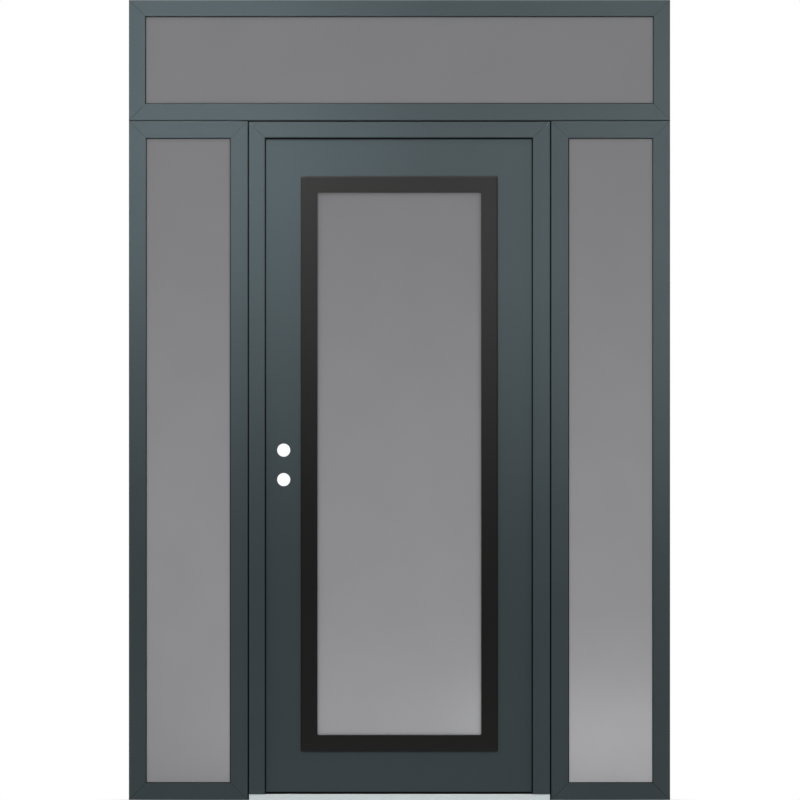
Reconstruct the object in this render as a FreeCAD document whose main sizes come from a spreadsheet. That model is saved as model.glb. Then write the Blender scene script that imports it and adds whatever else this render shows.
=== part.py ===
"""Entrance door between two sidelights, with a transom light above: one fixed frame and one swinging leaf.

Millimetres. Seen from outside, +X is to the right, +Y points into the building and +Z is up.
The origin is on the floor, at the middle of the door unit's width and of the frame's depth.
"""

import FreeCAD
import Part
import Sketcher

import os

Vec = FreeCAD.Vector
Turn = FreeCAD.Rotation

# Driving sizes
SIZES = {
    # The leaf and the room around it
    "leaf_width": 860,
    "leaf_height": 2055.5,
    "leaf_thickness": 78,
    "skin_thickness": 1.2,
    "skin_return": 12,
    "edge_gap": 5,
    "bottom_gap": 7,
    # The door frame: jamb faces as seen from outside, and the stop that the leaf closes against
    "frame_depth": 90,
    "strike_jamb_face": 49,
    "hinge_jamb_face": 53,
    "head_jamb_face": 48,
    "stop_overlap": 11,
    "mitre_gap": 0.8,
    # The seal on the stop
    "seal_gap": 5,
    "seal_clearance": 1,
    "seal_reach": 4,
    "seal_flange_width": 8,
    "seal_flange_thickness": 1.5,
    # The threshold
    "sill_height": 18.5,
    "sill_chamfer": 3,
    "groove_width": 2.5,
    "groove_depth": 1.2,
    "groove_pitch": 7,
    "groove_inset": 8,
    # The joints between the three units
    "mull_gap": 4.5,
    "head_joint": 6,
    "sidelight_joint": 2.5,
    "joint_recess": 8,
    # The fixed lights
    "sidelight_width": 371,
    "sidelight_face": 53,
    "transom_height": 376,
    "transom_face": 51,
    "lip_thickness": 12,
    "rebate_depth": 18,
    "gasket_thickness": 3,
    "gasket_width": 11,
    "gasket_lip": 2.5,
    "glass_thickness": 24,
    "glass_clearance": 3,
    "bead_depth": 20,
    # The light in the leaf
    "light_lock_margin": 123.5,
    "light_hinge_margin": 120.5,
    "light_top_margin": 131,
    "light_bottom_margin": 125.5,
    "light_band": 52,
    "light_projection": 7,
    "light_step_width": 3,
    "light_step_height": 2,
    "light_leg": 3,
    "leaf_glass_thickness": 40,
    "light_corner": 4,
    "sight_corner": 5,
    "cutout_cover": 20,
    # The lock preparation
    "bore_diameter": 41.3,
    "bore_spacing": 92,
    "bore_height": 975.5,
    "backset": 70,
    "latch_diameter": 25.4,
    "lock_block_margin": 80,
    "strike_pocket_width": 22,
    "strike_pocket_height": 45,
    "strike_pocket_depth": 18,
    # The hinges
    "hinge_height": 100,
    "hinge_top_drop": 200,
    "hinge_bottom_rise": 251.5,
    "plate_width": 32,
    "plate_thickness": 2.5,
    "knuckle_diameter": 13,
    "knuckle_standoff": 1,
    "knuckle_gap": 0.6,
    "pin_diameter": 7,
    "pin_clearance": 0.05,
    "pin_cap_diameter": 11,
    "pin_cap_height": 3,
    # The sweep under the leaf
    "sweep_inset": 6,
    "sweep_base": 2.5,
    "sweep_drop": 6.5,
    "fin_thickness": 4,
}

KNUCKLES = 5
GROOVES = 4

doc = FreeCAD.newDocument("EntranceDoor")
dims = doc.addObject("Spreadsheet::Sheet", "dims")
for row, (alias, size) in enumerate(SIZES.items(), start=1):
    dims.set(f"A{row}", alias.replace("_", " "))
    dims.set(f"B{row}", str(size))
    dims.setAlias(f"B{row}", alias)
doc.recompute()

# Levels and edges that follow from the driving sizes, written as expressions over the sheet
ZERO = "0"
FRONT = "(-dims.frame_depth / 2)"
BACK = "(dims.frame_depth / 2)"

DOORWAY = "(dims.leaf_width - 2 * dims.stop_overlap)"
UNIT_WIDTH = f"(dims.strike_jamb_face + {DOORWAY} + dims.hinge_jamb_face)"
UNIT_LEFT = f"(-{UNIT_WIDTH} / 2)"
UNIT_RIGHT = f"({UNIT_WIDTH} / 2)"
STOP_LEFT = f"({UNIT_LEFT} + dims.strike_jamb_face)"
STOP_RIGHT = f"({UNIT_RIGHT} - dims.hinge_jamb_face)"

LEAF_LEFT = f"({STOP_LEFT} - dims.stop_overlap)"
LEAF_RIGHT = f"({STOP_RIGHT} + dims.stop_overlap)"
LEAF_BOTTOM = "(dims.sill_height + dims.bottom_gap)"
LEAF_TOP = f"({LEAF_BOTTOM} + dims.leaf_height)"
LEAF_INSIDE = BACK
LEAF_OUTSIDE = f"({BACK} - dims.leaf_thickness)"
LEAF_MIDDLE = f"({BACK} - dims.leaf_thickness / 2)"

REBATE = "(dims.stop_overlap + dims.edge_gap)"
STOP_DEPTH = "(dims.frame_depth - dims.leaf_thickness - dims.seal_gap)"
STOP_BACK = f"({FRONT} + {STOP_DEPTH})"
STOP_TOP = f"({LEAF_TOP} - dims.stop_overlap)"
REBATE_LEFT = f"({STOP_LEFT} - {REBATE})"
REBATE_RIGHT = f"({STOP_RIGHT} + {REBATE})"
UNIT_TOP = f"({STOP_TOP} + dims.head_jamb_face)"

TRANSOM_BOTTOM = f"({UNIT_TOP} + dims.head_joint)"
SIDELIGHT_TOP = f"({TRANSOM_BOTTOM} - dims.sidelight_joint)"
WHOLE_WIDTH = f"({UNIT_WIDTH} + 2 * dims.mull_gap + 2 * dims.sidelight_width)"
WHOLE_LEFT = f"(-{WHOLE_WIDTH} / 2)"

# The seal's bulb
BULB_RADIUS = "((dims.seal_gap - dims.seal_clearance) / 2)"
BULB_Y = f"({STOP_BACK} + {BULB_RADIUS})"
BULB_REACH = f"(dims.seal_reach - {BULB_RADIUS})"

# The leaf's light, its bands and the cut-out behind them
BAND_WIDTH = "(dims.leaf_width - dims.light_lock_margin - dims.light_hinge_margin)"
BAND_HEIGHT = "(dims.leaf_height - dims.light_top_margin - dims.light_bottom_margin)"
CUT_INSET = "(dims.light_band - dims.cutout_cover)"
LEG_WIDTH = "(dims.cutout_cover - dims.glass_clearance)"
LEAF_GLASS_FRONT = f"({LEAF_OUTSIDE} + dims.light_leg + dims.gasket_thickness)"
LEAF_GLASS_BACK = f"({LEAF_GLASS_FRONT} + dims.leaf_glass_thickness)"
INNER_LEG = f"({LEAF_INSIDE} - {LEAF_GLASS_BACK} - dims.gasket_thickness)"

CUT_LEFT = f"({LEAF_LEFT} + dims.light_lock_margin + {CUT_INSET})"
CUT_RIGHT = f"({LEAF_RIGHT} - dims.light_hinge_margin - {CUT_INSET})"
CUT_BOTTOM = f"({LEAF_BOTTOM} + dims.light_bottom_margin + {CUT_INSET})"
CUT_TOP = f"({LEAF_TOP} - dims.light_top_margin - {CUT_INSET})"

# The lock and the hinges
LOWER_BORE = f"({LEAF_BOTTOM} + dims.bore_height)"
UPPER_BORE = f"({LOWER_BORE} + dims.bore_spacing)"
BORE_X = f"({LEAF_LEFT} + dims.backset)"

PIN_X = f"({LEAF_RIGHT} + dims.edge_gap / 2)"
KNUCKLE_RADIUS = "(dims.knuckle_diameter / 2)"
PIN_Y = f"({LEAF_INSIDE} + dims.knuckle_standoff + {KNUCKLE_RADIUS})"
PLATE_DEPTH = (f"({LEAF_INSIDE} - dims.plate_width)", LEAF_INSIDE)
BOTTOM_HINGE = f"({LEAF_BOTTOM} + dims.hinge_bottom_rise - dims.hinge_height / 2)"
TOP_HINGE = f"({LEAF_TOP} - dims.hinge_top_drop - dims.hinge_height / 2)"
MIDDLE_HINGE = f"(({BOTTOM_HINGE} + {TOP_HINGE}) / 2)"
HINGES = {"bottom": BOTTOM_HINGE, "middle": MIDDLE_HINGE, "top": TOP_HINGE}

# Turns from a piece's own axes to the door's.
# A bar's outer edge runs along its X and it is built up towards +Y.
BAR_LIES_FLAT = Turn(Vec(1, 0, 0), -90)
TOP_SIDE, RIGHT_SIDE, BOTTOM_SIDE, LEFT_SIDE = 0, 90, 180, 270
FACING_OUT = Turn(Vec(1, 0, 0), 90)
ALONG_Z = Turn()
ALONG_X = Turn(Vec(0, 1, 0), 90)
ALONG_Y = Turn(Vec(1, 0, 0), -90)

pieces = []


def value(expression):
    """The number that an expression over the sheet has now."""
    return float(dims.evalExpression(expression))


def keep(item, label):
    """Name a finished sub-part and put it on the list of pieces."""
    item.Label = label
    pieces.append(item)
    return item


def locate(item, x, y, z):
    """Bind an object's position to three expressions."""
    for axis, expression in zip("xyz", (x, y, z)):
        item.setExpression(f"Placement.Base.{axis}", expression)
    return item


def box(name, x, y, z):
    """A box between a low and a high expression on each axis."""
    solid = doc.addObject("Part::Box", name)
    for size, (low, high) in zip(("Length", "Width", "Height"), (x, y, z)):
        solid.setExpression(size, f"{high} - {low}")
    return locate(solid, x[0], y[0], z[0])


def rod(name, radius, length, start, turn):
    """A cylinder that starts at a point of three expressions and runs along the turned Z axis."""
    solid = doc.addObject("Part::Cylinder", name)
    solid.setExpression("Radius", radius)
    solid.setExpression("Height", length)
    solid.Placement = FreeCAD.Placement(Vec(), turn)
    return locate(solid, *start)


def cut(name, base, tool):
    """The base with the tool taken out of it."""
    result = doc.addObject("Part::Cut", name)
    result.Base = base
    result.Tool = tool
    return result


def fuse(name, solids):
    """Several overlapping solids as one."""
    result = doc.addObject("Part::MultiFuse", name)
    result.Shapes = solids
    return result


def group(name, solids):
    """Several separate solids of one sub-part."""
    result = doc.addObject("Part::Compound", name)
    result.Links = solids
    return result


def mitred_bar(name, length, face, depth, start_mitre, end_mitre):
    """A bar in its own frame: outer edge along X, face along Y, depth along Z, and ends that slope inward.

    A mitre of ZERO leaves that end square and flush; any other end stands back by half the mitre gap.
    """
    start_gap = ZERO if start_mitre == ZERO else "dims.mitre_gap / 2"
    end_gap = ZERO if end_mitre == ZERO else "dims.mitre_gap / 2"
    bar = doc.addObject("Part::Wedge", name)
    bounds = {
        "Xmin": start_gap,
        "X2min": f"{start_mitre} + {start_gap}",
        "Xmax": f"{length} - {end_gap}",
        "X2max": f"{length} - {end_mitre} - {end_gap}",
        "Ymin": ZERO,
        "Ymax": face,
        "Zmin": ZERO,
        "Z2min": ZERO,
        "Zmax": depth,
        "Z2max": depth,
    }
    for bound, expression in bounds.items():
        bar.setExpression(bound, expression)
    return bar


def stand(bar, side, x, y, z):
    """Turn a bar to its side of a frame and put its starting corner at a point."""
    bar.Placement = FreeCAD.Placement(Vec(), Turn(Vec(0, 1, 0), side) * BAR_LIES_FLAT)
    return locate(bar, x, y, z)


def rebated_bar(name, length, face, rebate, lip, start_mitre, end_mitre):
    """A frame bar with a rebate along its inner back edge, so that a lip stands in front of what it holds."""
    bar = mitred_bar(f"{name}_bar", length, face, "dims.frame_depth", start_mitre, end_mitre)
    groove = box(f"{name}_rebate", (ZERO, length), (f"({face} - {rebate})", face), (lip, "dims.frame_depth"))
    return cut(name, bar, groove)


def side_bars(x, z, width, height):
    """The four sides of an upright rectangle: turn, starting corner and length, clockwise from the top."""
    right = f"({x} + {width})"
    top = f"({z} + {height})"
    return (
        (TOP_SIDE, x, top, width),
        (RIGHT_SIDE, right, top, height),
        (BOTTOM_SIDE, right, z, width),
        (LEFT_SIDE, x, z, height),
    )


def ring(name, x, y, z, inset):
    """A flat ring between the given bounds, its opening smaller by the inset on every side."""
    outer = box(f"{name}_outline", x, y, z)
    inner_x = (f"({x[0]} + {inset})", f"({x[1]} - {inset})")
    inner_z = (f"({z[0]} + {inset})", f"({z[1]} - {inset})")
    opening = box(f"{name}_opening", inner_x, y, inner_z)
    return cut(name, outer, opening)


def fixed_light(name, x, z, width, height, face, side_names):
    """A fixed light: four mitred bars, a sealed glass unit, its two gaskets and the glazing beads."""
    for side_name, (side, corner_x, corner_z, length) in zip(side_names, side_bars(x, z, width, height)):
        label = f"{name}_{side_name}"
        bar = rebated_bar(label, length, face, "dims.rebate_depth", "dims.lip_thickness", face, face)
        keep(stand(bar, side, corner_x, FRONT, corner_z), label)

    right = f"({x} + {width})"
    top = f"({z} + {height})"
    web = f"({face} - dims.rebate_depth)"
    glass_front = f"({FRONT} + dims.lip_thickness + dims.gasket_thickness)"
    glass_back = f"({glass_front} + dims.glass_thickness)"
    bead_front = f"({glass_back} + dims.gasket_thickness)"

    edge = f"({web} + dims.glass_clearance)"
    pane = box(
        f"{name}_glass",
        (f"({x} + {edge})", f"({right} - {edge})"),
        (glass_front, glass_back),
        (f"({z} + {edge})", f"({top} - {edge})"),
    )
    keep(pane, f"{name}_glass")

    seat = f"({face} - dims.gasket_width)"
    gasket_inset = "(dims.gasket_width + dims.gasket_lip)"
    seat_x = (f"({x} + {seat})", f"({right} - {seat})")
    seat_z = (f"({z} + {seat})", f"({top} - {seat})")
    lip_back = f"({FRONT} + dims.lip_thickness)"
    outer_gasket = ring(f"{name}_outer_gasket", seat_x, (lip_back, glass_front), seat_z, gasket_inset)
    inner_gasket = ring(f"{name}_inner_gasket", seat_x, (glass_back, bead_front), seat_z, gasket_inset)
    keep(group(f"{name}_gaskets", [outer_gasket, inner_gasket]), f"{name}_gaskets")

    beads = []
    bead_face = "dims.rebate_depth"
    bead_sides = side_bars(
        f"({x} + {web})", f"({z} + {web})", f"({width} - 2 * {web})", f"({height} - 2 * {web})"
    )
    for side, corner_x, corner_z, length in bead_sides:
        bead = mitred_bar(f"{name}_bead", length, bead_face, "dims.bead_depth", bead_face, bead_face)
        beads.append(stand(bead, side, corner_x, bead_front, corner_z))
    keep(group(f"{name}_beads", beads), f"{name}_beads")


def origin_plane(body, role):
    """One of a body's own origin planes."""
    return next(item for item in body.Origin.OriginFeatures if item.Role == role)


def new_sketch(body, name, role="XY_Plane", lift=ZERO):
    """A sketch on an origin plane of the body, lifted along the plane's normal."""
    sketch = body.newObject("Sketcher::SketchObject", name)
    sketch.AttachmentSupport = (origin_plane(body, role), [""])
    sketch.MapMode = "FlatFace"
    if lift != ZERO:
        sketch.setExpression("AttachmentOffset.Base.z", lift)
    return sketch


def dimension(sketch, name, kind, references, expression):
    """Add a named dimension to a sketch and bind it to an expression."""
    index = sketch.addConstraint(Sketcher.Constraint(kind, *references, value(expression)))
    sketch.renameConstraint(index, name)
    sketch.setExpression(f"Constraints.{name}", expression)


ORIGIN_POINT = (-1, 1)
START, END, CENTRE = range(1, 4)


def place_corner(sketch, name, line, left, bottom):
    """Dimension a line's start point from the sketch's origin."""
    for axis, kind, expression in (("x", "DistanceX", left), ("y", "DistanceY", bottom)):
        if expression == ZERO:
            axis_line = -2 if axis == "x" else -1
            sketch.addConstraint(Sketcher.Constraint("PointOnObject", line, START, axis_line))
        else:
            dimension(sketch, f"{name}_{axis}", kind, (*ORIGIN_POINT, line, START), expression)


def rectangle(sketch, name, left, bottom, width, height):
    """Draw a rectangle from its lower left corner."""
    x, y, across, up = (value(expression) for expression in (left, bottom, width, height))
    corners = [Vec(x, y), Vec(x + across, y), Vec(x + across, y + up), Vec(x, y + up)]
    lines = [
        sketch.addGeometry(Part.LineSegment(start, end))
        for start, end in zip(corners, corners[1:] + corners[:1])
    ]
    for index, line in enumerate(lines):
        following = lines[(index + 1) % len(lines)]
        sketch.addConstraint(Sketcher.Constraint("Coincident", line, END, following, START))
        sketch.addConstraint(Sketcher.Constraint("Vertical" if index % 2 else "Horizontal", line))
    place_corner(sketch, name, lines[0], left, bottom)
    dimension(sketch, f"{name}_width", "DistanceX", (lines[0], START, lines[0], END), width)
    dimension(sketch, f"{name}_height", "DistanceY", (lines[1], START, lines[1], END), height)


def rounded_rectangle(sketch, name, left, bottom, width, height, radius):
    """Draw a rectangle with four equal rounded corners, given by its outer bounds."""
    x, y, across, up, bend = (value(expression) for expression in (left, bottom, width, height, radius))
    near_x, far_x = x + bend, x + across - bend
    near_y, far_y = y + bend, y + up - bend
    ends = [
        (Vec(near_x, y), Vec(far_x, y)),
        (Vec(x + across, near_y), Vec(x + across, far_y)),
        (Vec(far_x, y + up), Vec(near_x, y + up)),
        (Vec(x, far_y), Vec(x, near_y)),
    ]
    centres = [Vec(far_x, near_y), Vec(far_x, far_y), Vec(near_x, far_y), Vec(near_x, near_y)]
    lines = [sketch.addGeometry(Part.LineSegment(start, end)) for start, end in ends]
    bends = []
    for centre, (_, start), (end, _) in zip(centres, ends, ends[1:] + ends[:1]):
        middle = centre + (start + end - centre * 2).normalize() * bend
        bends.append(sketch.addGeometry(Part.Arc(start, middle, end)))
    for index, (line, arc) in enumerate(zip(lines, bends)):
        following = lines[(index + 1) % len(lines)]
        sketch.addConstraint(Sketcher.Constraint("Tangent", line, END, arc, START))
        sketch.addConstraint(Sketcher.Constraint("Tangent", arc, END, following, START))
        sketch.addConstraint(Sketcher.Constraint("Vertical" if index % 2 else "Horizontal", line))
    for arc in bends[1:]:
        sketch.addConstraint(Sketcher.Constraint("Equal", bends[0], arc))
    dimension(sketch, f"{name}_corner", "Radius", (bends[0],), radius)
    dimension(sketch, f"{name}_x", "DistanceX", (*ORIGIN_POINT, lines[3], END), left)
    dimension(sketch, f"{name}_y", "DistanceY", (*ORIGIN_POINT, lines[0], START), bottom)
    dimension(sketch, f"{name}_width", "DistanceX", (lines[3], END, lines[1], START), width)
    dimension(sketch, f"{name}_height", "DistanceY", (lines[0], START, lines[2], END), height)


def circle(sketch, name, x, y, diameter):
    """Draw a circle by its centre and diameter."""
    centre = Vec(value(x), value(y))
    edge = sketch.addGeometry(Part.Circle(centre, Vec(0, 0, 1), value(diameter) / 2))
    dimension(sketch, f"{name}_x", "DistanceX", (*ORIGIN_POINT, edge, CENTRE), x)
    dimension(sketch, f"{name}_y", "DistanceY", (*ORIGIN_POINT, edge, CENTRE), y)
    dimension(sketch, f"{name}_diameter", "Diameter", (edge,), diameter)


def pad(body, name, sketch, length, downward=False):
    """Thicken a sketch along its normal, or against it."""
    feature = body.newObject("PartDesign::Pad", name)
    feature.Profile = sketch
    feature.Reversed = downward
    feature.setExpression("Length", length)
    return feature


def pocket(body, name, sketch, length=None):
    """Cut a sketch's outline out of the solid along the sketch's normal, by a length or right through."""
    feature = body.newObject("PartDesign::Pocket", name)
    feature.Profile = sketch
    feature.Reversed = True
    if length is None:
        feature.Type = "ThroughAll"
    else:
        feature.setExpression("Length", length)
    return feature


def leaf_body(name, y):
    """A body whose XY plane is the leaf's face, its Z pointing outside, from the leaf's lower left corner."""
    body = doc.addObject("PartDesign::Body", name)
    body.Placement = FreeCAD.Placement(Vec(), FACING_OUT)
    return locate(body, LEAF_LEFT, y, LEAF_BOTTOM)


def leaf_skin(name, y, cavity_lift, hinge_notches):
    """A folded sheet tray over one face of the leaf, cut for the light and the lock."""
    body = leaf_body(name, y)
    outline = new_sketch(body, f"{name}_outline")
    rectangle(outline, "face", ZERO, ZERO, "dims.leaf_width", "dims.leaf_height")
    pad(body, f"{name}_sheet", outline, "dims.skin_return")

    hollow = new_sketch(body, f"{name}_hollow", lift=cavity_lift)
    skin = "dims.skin_thickness"
    inner_width = "dims.leaf_width - 2 * dims.skin_thickness"
    inner_height = "dims.leaf_height - 2 * dims.skin_thickness"
    rectangle(hollow, "inside", skin, skin, inner_width, inner_height)
    pocket(body, f"{name}_fold", hollow, "dims.skin_return - dims.skin_thickness")

    holes = new_sketch(body, f"{name}_holes")
    side = f"dims.light_lock_margin + {CUT_INSET}"
    bottom = f"dims.light_bottom_margin + {CUT_INSET}"
    cut_width = f"{BAND_WIDTH} - 2 * {CUT_INSET}"
    cut_height = f"{BAND_HEIGHT} - 2 * {CUT_INSET}"
    rectangle(holes, "light", side, bottom, cut_width, cut_height)
    circle(holes, "handle", "dims.backset", "dims.bore_height", "dims.bore_diameter")
    circle(holes, "bolt", "dims.backset", "dims.bore_height + dims.bore_spacing", "dims.bore_diameter")
    pocket(body, f"{name}_openings", holes)

    if hinge_notches:
        notches = new_sketch(body, f"{name}_notches")
        notch_x = "dims.leaf_width - dims.plate_thickness"
        for place, level in HINGES.items():
            notch_y = f"{level} - {LEAF_BOTTOM}"
            rectangle(notches, place, notch_x, notch_y, "dims.plate_thickness", "dims.hinge_height")
        pocket(body, f"{name}_mortises", notches)
    return keep(body, name)


def light_frame(name, y, inside):
    """The rounded frame of the leaf's light: a stepped band on the leaf's face and a leg to the glass."""
    body = leaf_body(name, y)
    sight_x = "dims.light_lock_margin + dims.light_band"
    sight_y = "dims.light_bottom_margin + dims.light_band"
    sight_width = f"{BAND_WIDTH} - 2 * dims.light_band"
    sight_height = f"{BAND_HEIGHT} - 2 * dims.light_band"
    leg_depth = INNER_LEG if inside else "dims.light_leg"

    def band(layer, inset, corner, depth, downward):
        """One layer of the frame, its outline drawn in from the band's outer edge."""
        sketch = new_sketch(body, f"{name}_{layer}_outline")
        rounded_rectangle(
            sketch,
            "outer",
            f"dims.light_lock_margin + {inset}",
            f"dims.light_bottom_margin + {inset}",
            f"{BAND_WIDTH} - 2 * {inset}",
            f"{BAND_HEIGHT} - 2 * {inset}",
            corner,
        )
        rounded_rectangle(sketch, "sight", sight_x, sight_y, sight_width, sight_height, "dims.sight_corner")
        pad(body, f"{name}_{layer}", sketch, depth, downward)

    band("step", ZERO, "dims.light_corner", "dims.light_step_height", inside)
    band("face", "dims.light_step_width", "dims.light_corner", "dims.light_projection", inside)
    band("leg", f"(dims.light_band - {LEG_WIDTH})", "dims.sight_corner", leg_depth, not inside)
    return keep(body, name)


def seal_strip(name, flange_x, flange_z, bulb_start, bulb_length, bulb_turn):
    """A strip of bulb seal: a flat flange on the stop's back face with a round bulb along its edge."""
    flange_y = (STOP_BACK, f"({STOP_BACK} + dims.seal_flange_thickness)")
    flange = box(f"{name}_flange", flange_x, flange_y, flange_z)
    bulb = rod(f"{name}_bulb", BULB_RADIUS, bulb_length, bulb_start, bulb_turn)
    return fuse(name, [flange, bulb])


def hinge_half(name, level, plate_left, knuckles):
    """One half of a butt hinge: a plate let into an edge, with the knuckles that belong to it."""
    plate_x = (plate_left, f"({plate_left} + dims.plate_thickness)")
    level_top = f"({level} + dims.hinge_height)"
    solids = [box(f"{name}_plate", plate_x, PLATE_DEPTH, (level, level_top))]
    share = f"(dims.hinge_height / {KNUCKLES})"
    for knuckle in knuckles:
        low = f"({level} + {knuckle} * {share})"
        high = f"({low} + {share})"
        if knuckle > 0:
            low = f"({low} + dims.knuckle_gap / 2)"
        if knuckle < KNUCKLES - 1:
            high = f"({high} - dims.knuckle_gap / 2)"
        solids.append(box(f"{name}_web", plate_x, (LEAF_INSIDE, PIN_Y), (low, high)))
        knuckle_start = (PIN_X, PIN_Y, low)
        knuckle_length = f"{high} - {low}"
        solids.append(rod(f"{name}_knuckle", KNUCKLE_RADIUS, knuckle_length, knuckle_start, ALONG_Z))
    hole_start = (PIN_X, PIN_Y, level)
    pin_hole = rod(f"{name}_hole", "dims.pin_diameter / 2", "dims.hinge_height", hole_start, ALONG_Z)
    return cut(name, fuse(f"{name}_solid", solids), pin_hole)


def hinge_pin(name, level):
    """A hinge pin with a cap at each end."""
    level_top = f"({level} + dims.hinge_height)"
    level_under = f"({level} - dims.pin_cap_height)"
    pin_radius = "dims.pin_diameter / 2 - dims.pin_clearance"
    cap_radius = "dims.pin_cap_diameter / 2"
    shank = rod(f"{name}_shank", pin_radius, "dims.hinge_height", (PIN_X, PIN_Y, level), ALONG_Z)
    upper_cap = rod(f"{name}_cap", cap_radius, "dims.pin_cap_height", (PIN_X, PIN_Y, level_top), ALONG_Z)
    lower_cap = rod(f"{name}_foot", cap_radius, "dims.pin_cap_height", (PIN_X, PIN_Y, level_under), ALONG_Z)
    return fuse(name, [shank, upper_cap, lower_cap])


# Transom light and sidelights
fixed_light(
    "transom",
    WHOLE_LEFT,
    TRANSOM_BOTTOM,
    WHOLE_WIDTH,
    "dims.transom_height",
    "dims.transom_face",
    ("top_rail", "right_stile", "bottom_rail", "left_stile"),
)
fixed_light(
    "left_sidelight",
    WHOLE_LEFT,
    ZERO,
    "dims.sidelight_width",
    SIDELIGHT_TOP,
    "dims.sidelight_face",
    ("top_rail", "inner_stile", "bottom_rail", "outer_stile"),
)
fixed_light(
    "right_sidelight",
    f"({UNIT_RIGHT} + dims.mull_gap)",
    ZERO,
    "dims.sidelight_width",
    SIDELIGHT_TOP,
    "dims.sidelight_face",
    ("top_rail", "outer_stile", "bottom_rail", "inner_stile"),
)

# Joint strips between the units, set back from both faces
joint_depth = (f"({FRONT} + dims.joint_recess)", f"({BACK} - dims.joint_recess)")
for strip_side, strip_left in (("left", f"({UNIT_LEFT} - dims.mull_gap)"), ("right", UNIT_RIGHT)):
    strip_label = f"joint_strip_{strip_side}"
    strip_x = (strip_left, f"({strip_left} + dims.mull_gap)")
    keep(box(strip_label, strip_x, joint_depth, (ZERO, SIDELIGHT_TOP)), strip_label)
long_strip = box(
    "joint_strip_long", (WHOLE_LEFT, f"(-{WHOLE_LEFT})"), joint_depth, (SIDELIGHT_TOP, TRANSOM_BOTTOM)
)
door_strip = box("joint_strip_door", (UNIT_LEFT, UNIT_RIGHT), joint_depth, (UNIT_TOP, TRANSOM_BOTTOM))
keep(fuse("joint_strip_head", [long_strip, door_strip]), "joint_strip_head")

# Door frame: a mitred head over two jambs that stand on the threshold
JAMB_HEIGHT = f"({UNIT_TOP} - dims.sill_height)"
head_jamb = rebated_bar(
    "door_head_jamb",
    UNIT_WIDTH,
    "dims.head_jamb_face",
    REBATE,
    STOP_DEPTH,
    "dims.strike_jamb_face",
    "dims.hinge_jamb_face",
)
keep(stand(head_jamb, TOP_SIDE, UNIT_LEFT, FRONT, UNIT_TOP), "door_head_jamb")

strike_bar = rebated_bar(
    "strike_bar", JAMB_HEIGHT, "dims.strike_jamb_face", REBATE, STOP_DEPTH, ZERO, "dims.head_jamb_face"
)
stand(strike_bar, LEFT_SIDE, UNIT_LEFT, FRONT, "dims.sill_height")
strike_x = (f"({REBATE_LEFT} - dims.strike_pocket_depth)", REBATE_LEFT)
half_width = "dims.strike_pocket_width / 2"
half_height = "dims.strike_pocket_height / 2"
strike_y = (f"({LEAF_MIDDLE} - {half_width})", f"({LEAF_MIDDLE} + {half_width})")
strike_pockets = [
    box("strike_pocket", strike_x, strike_y, (f"({level} - {half_height})", f"({level} + {half_height})"))
    for level in (LOWER_BORE, UPPER_BORE)
]
keep(cut("door_strike_jamb", strike_bar, group("strike_pockets", strike_pockets)), "door_strike_jamb")

hinge_bar = rebated_bar(
    "hinge_bar", JAMB_HEIGHT, "dims.hinge_jamb_face", REBATE, STOP_DEPTH, "dims.head_jamb_face", ZERO
)
stand(hinge_bar, RIGHT_SIDE, UNIT_RIGHT, FRONT, UNIT_TOP)
jamb_mortises = [
    box(
        "jamb_mortise",
        (REBATE_RIGHT, f"({REBATE_RIGHT} + dims.plate_thickness)"),
        PLATE_DEPTH,
        (level, f"({level} + dims.hinge_height)"),
    )
    for level in HINGES.values()
]
keep(cut("door_hinge_jamb", hinge_bar, group("jamb_mortises", jamb_mortises)), "door_hinge_jamb")

# Threshold: an aluminium extrusion with a chamfered nose and fine grooves to stand on
threshold = doc.addObject("PartDesign::Body", "threshold")
locate(threshold, UNIT_LEFT, FRONT, ZERO)
sill_section = new_sketch(threshold, "sill_section", "YZ_Plane")
rectangle(sill_section, "section", ZERO, ZERO, "dims.frame_depth", "dims.sill_height")
sill_bar = pad(threshold, "sill_bar", sill_section, UNIT_WIDTH)
doc.recompute()
nose_middle = Vec(value(UNIT_WIDTH) / 2, 0, value("dims.sill_height"))
nose_distances = [edge.CenterOfMass.distanceToPoint(nose_middle) for edge in sill_bar.Shape.Edges]
nose_number = nose_distances.index(min(nose_distances)) + 1
sill_nose = threshold.newObject("PartDesign::Chamfer", "sill_nose")
sill_nose.Base = (sill_bar, [f"Edge{nose_number}"])
sill_nose.setExpression("Size", "dims.sill_chamfer")
groove_section = new_sketch(threshold, "groove_section", "YZ_Plane")
rectangle(
    groove_section,
    "groove",
    "dims.groove_inset",
    "dims.sill_height - dims.groove_depth",
    "dims.groove_width",
    "dims.groove_depth",
)
sill_groove = pocket(threshold, "sill_groove", groove_section)
sill_grooves = threshold.newObject("PartDesign::LinearPattern", "sill_grooves")
sill_grooves.Originals = [sill_groove]
sill_grooves.Direction = (groove_section, ["H_Axis"])
sill_grooves.Occurrences = GROOVES
sill_grooves.Mode = "Spacing"
sill_grooves.setExpression("Offset", "dims.groove_pitch")
threshold.Tip = sill_grooves
keep(threshold, "threshold")

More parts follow.
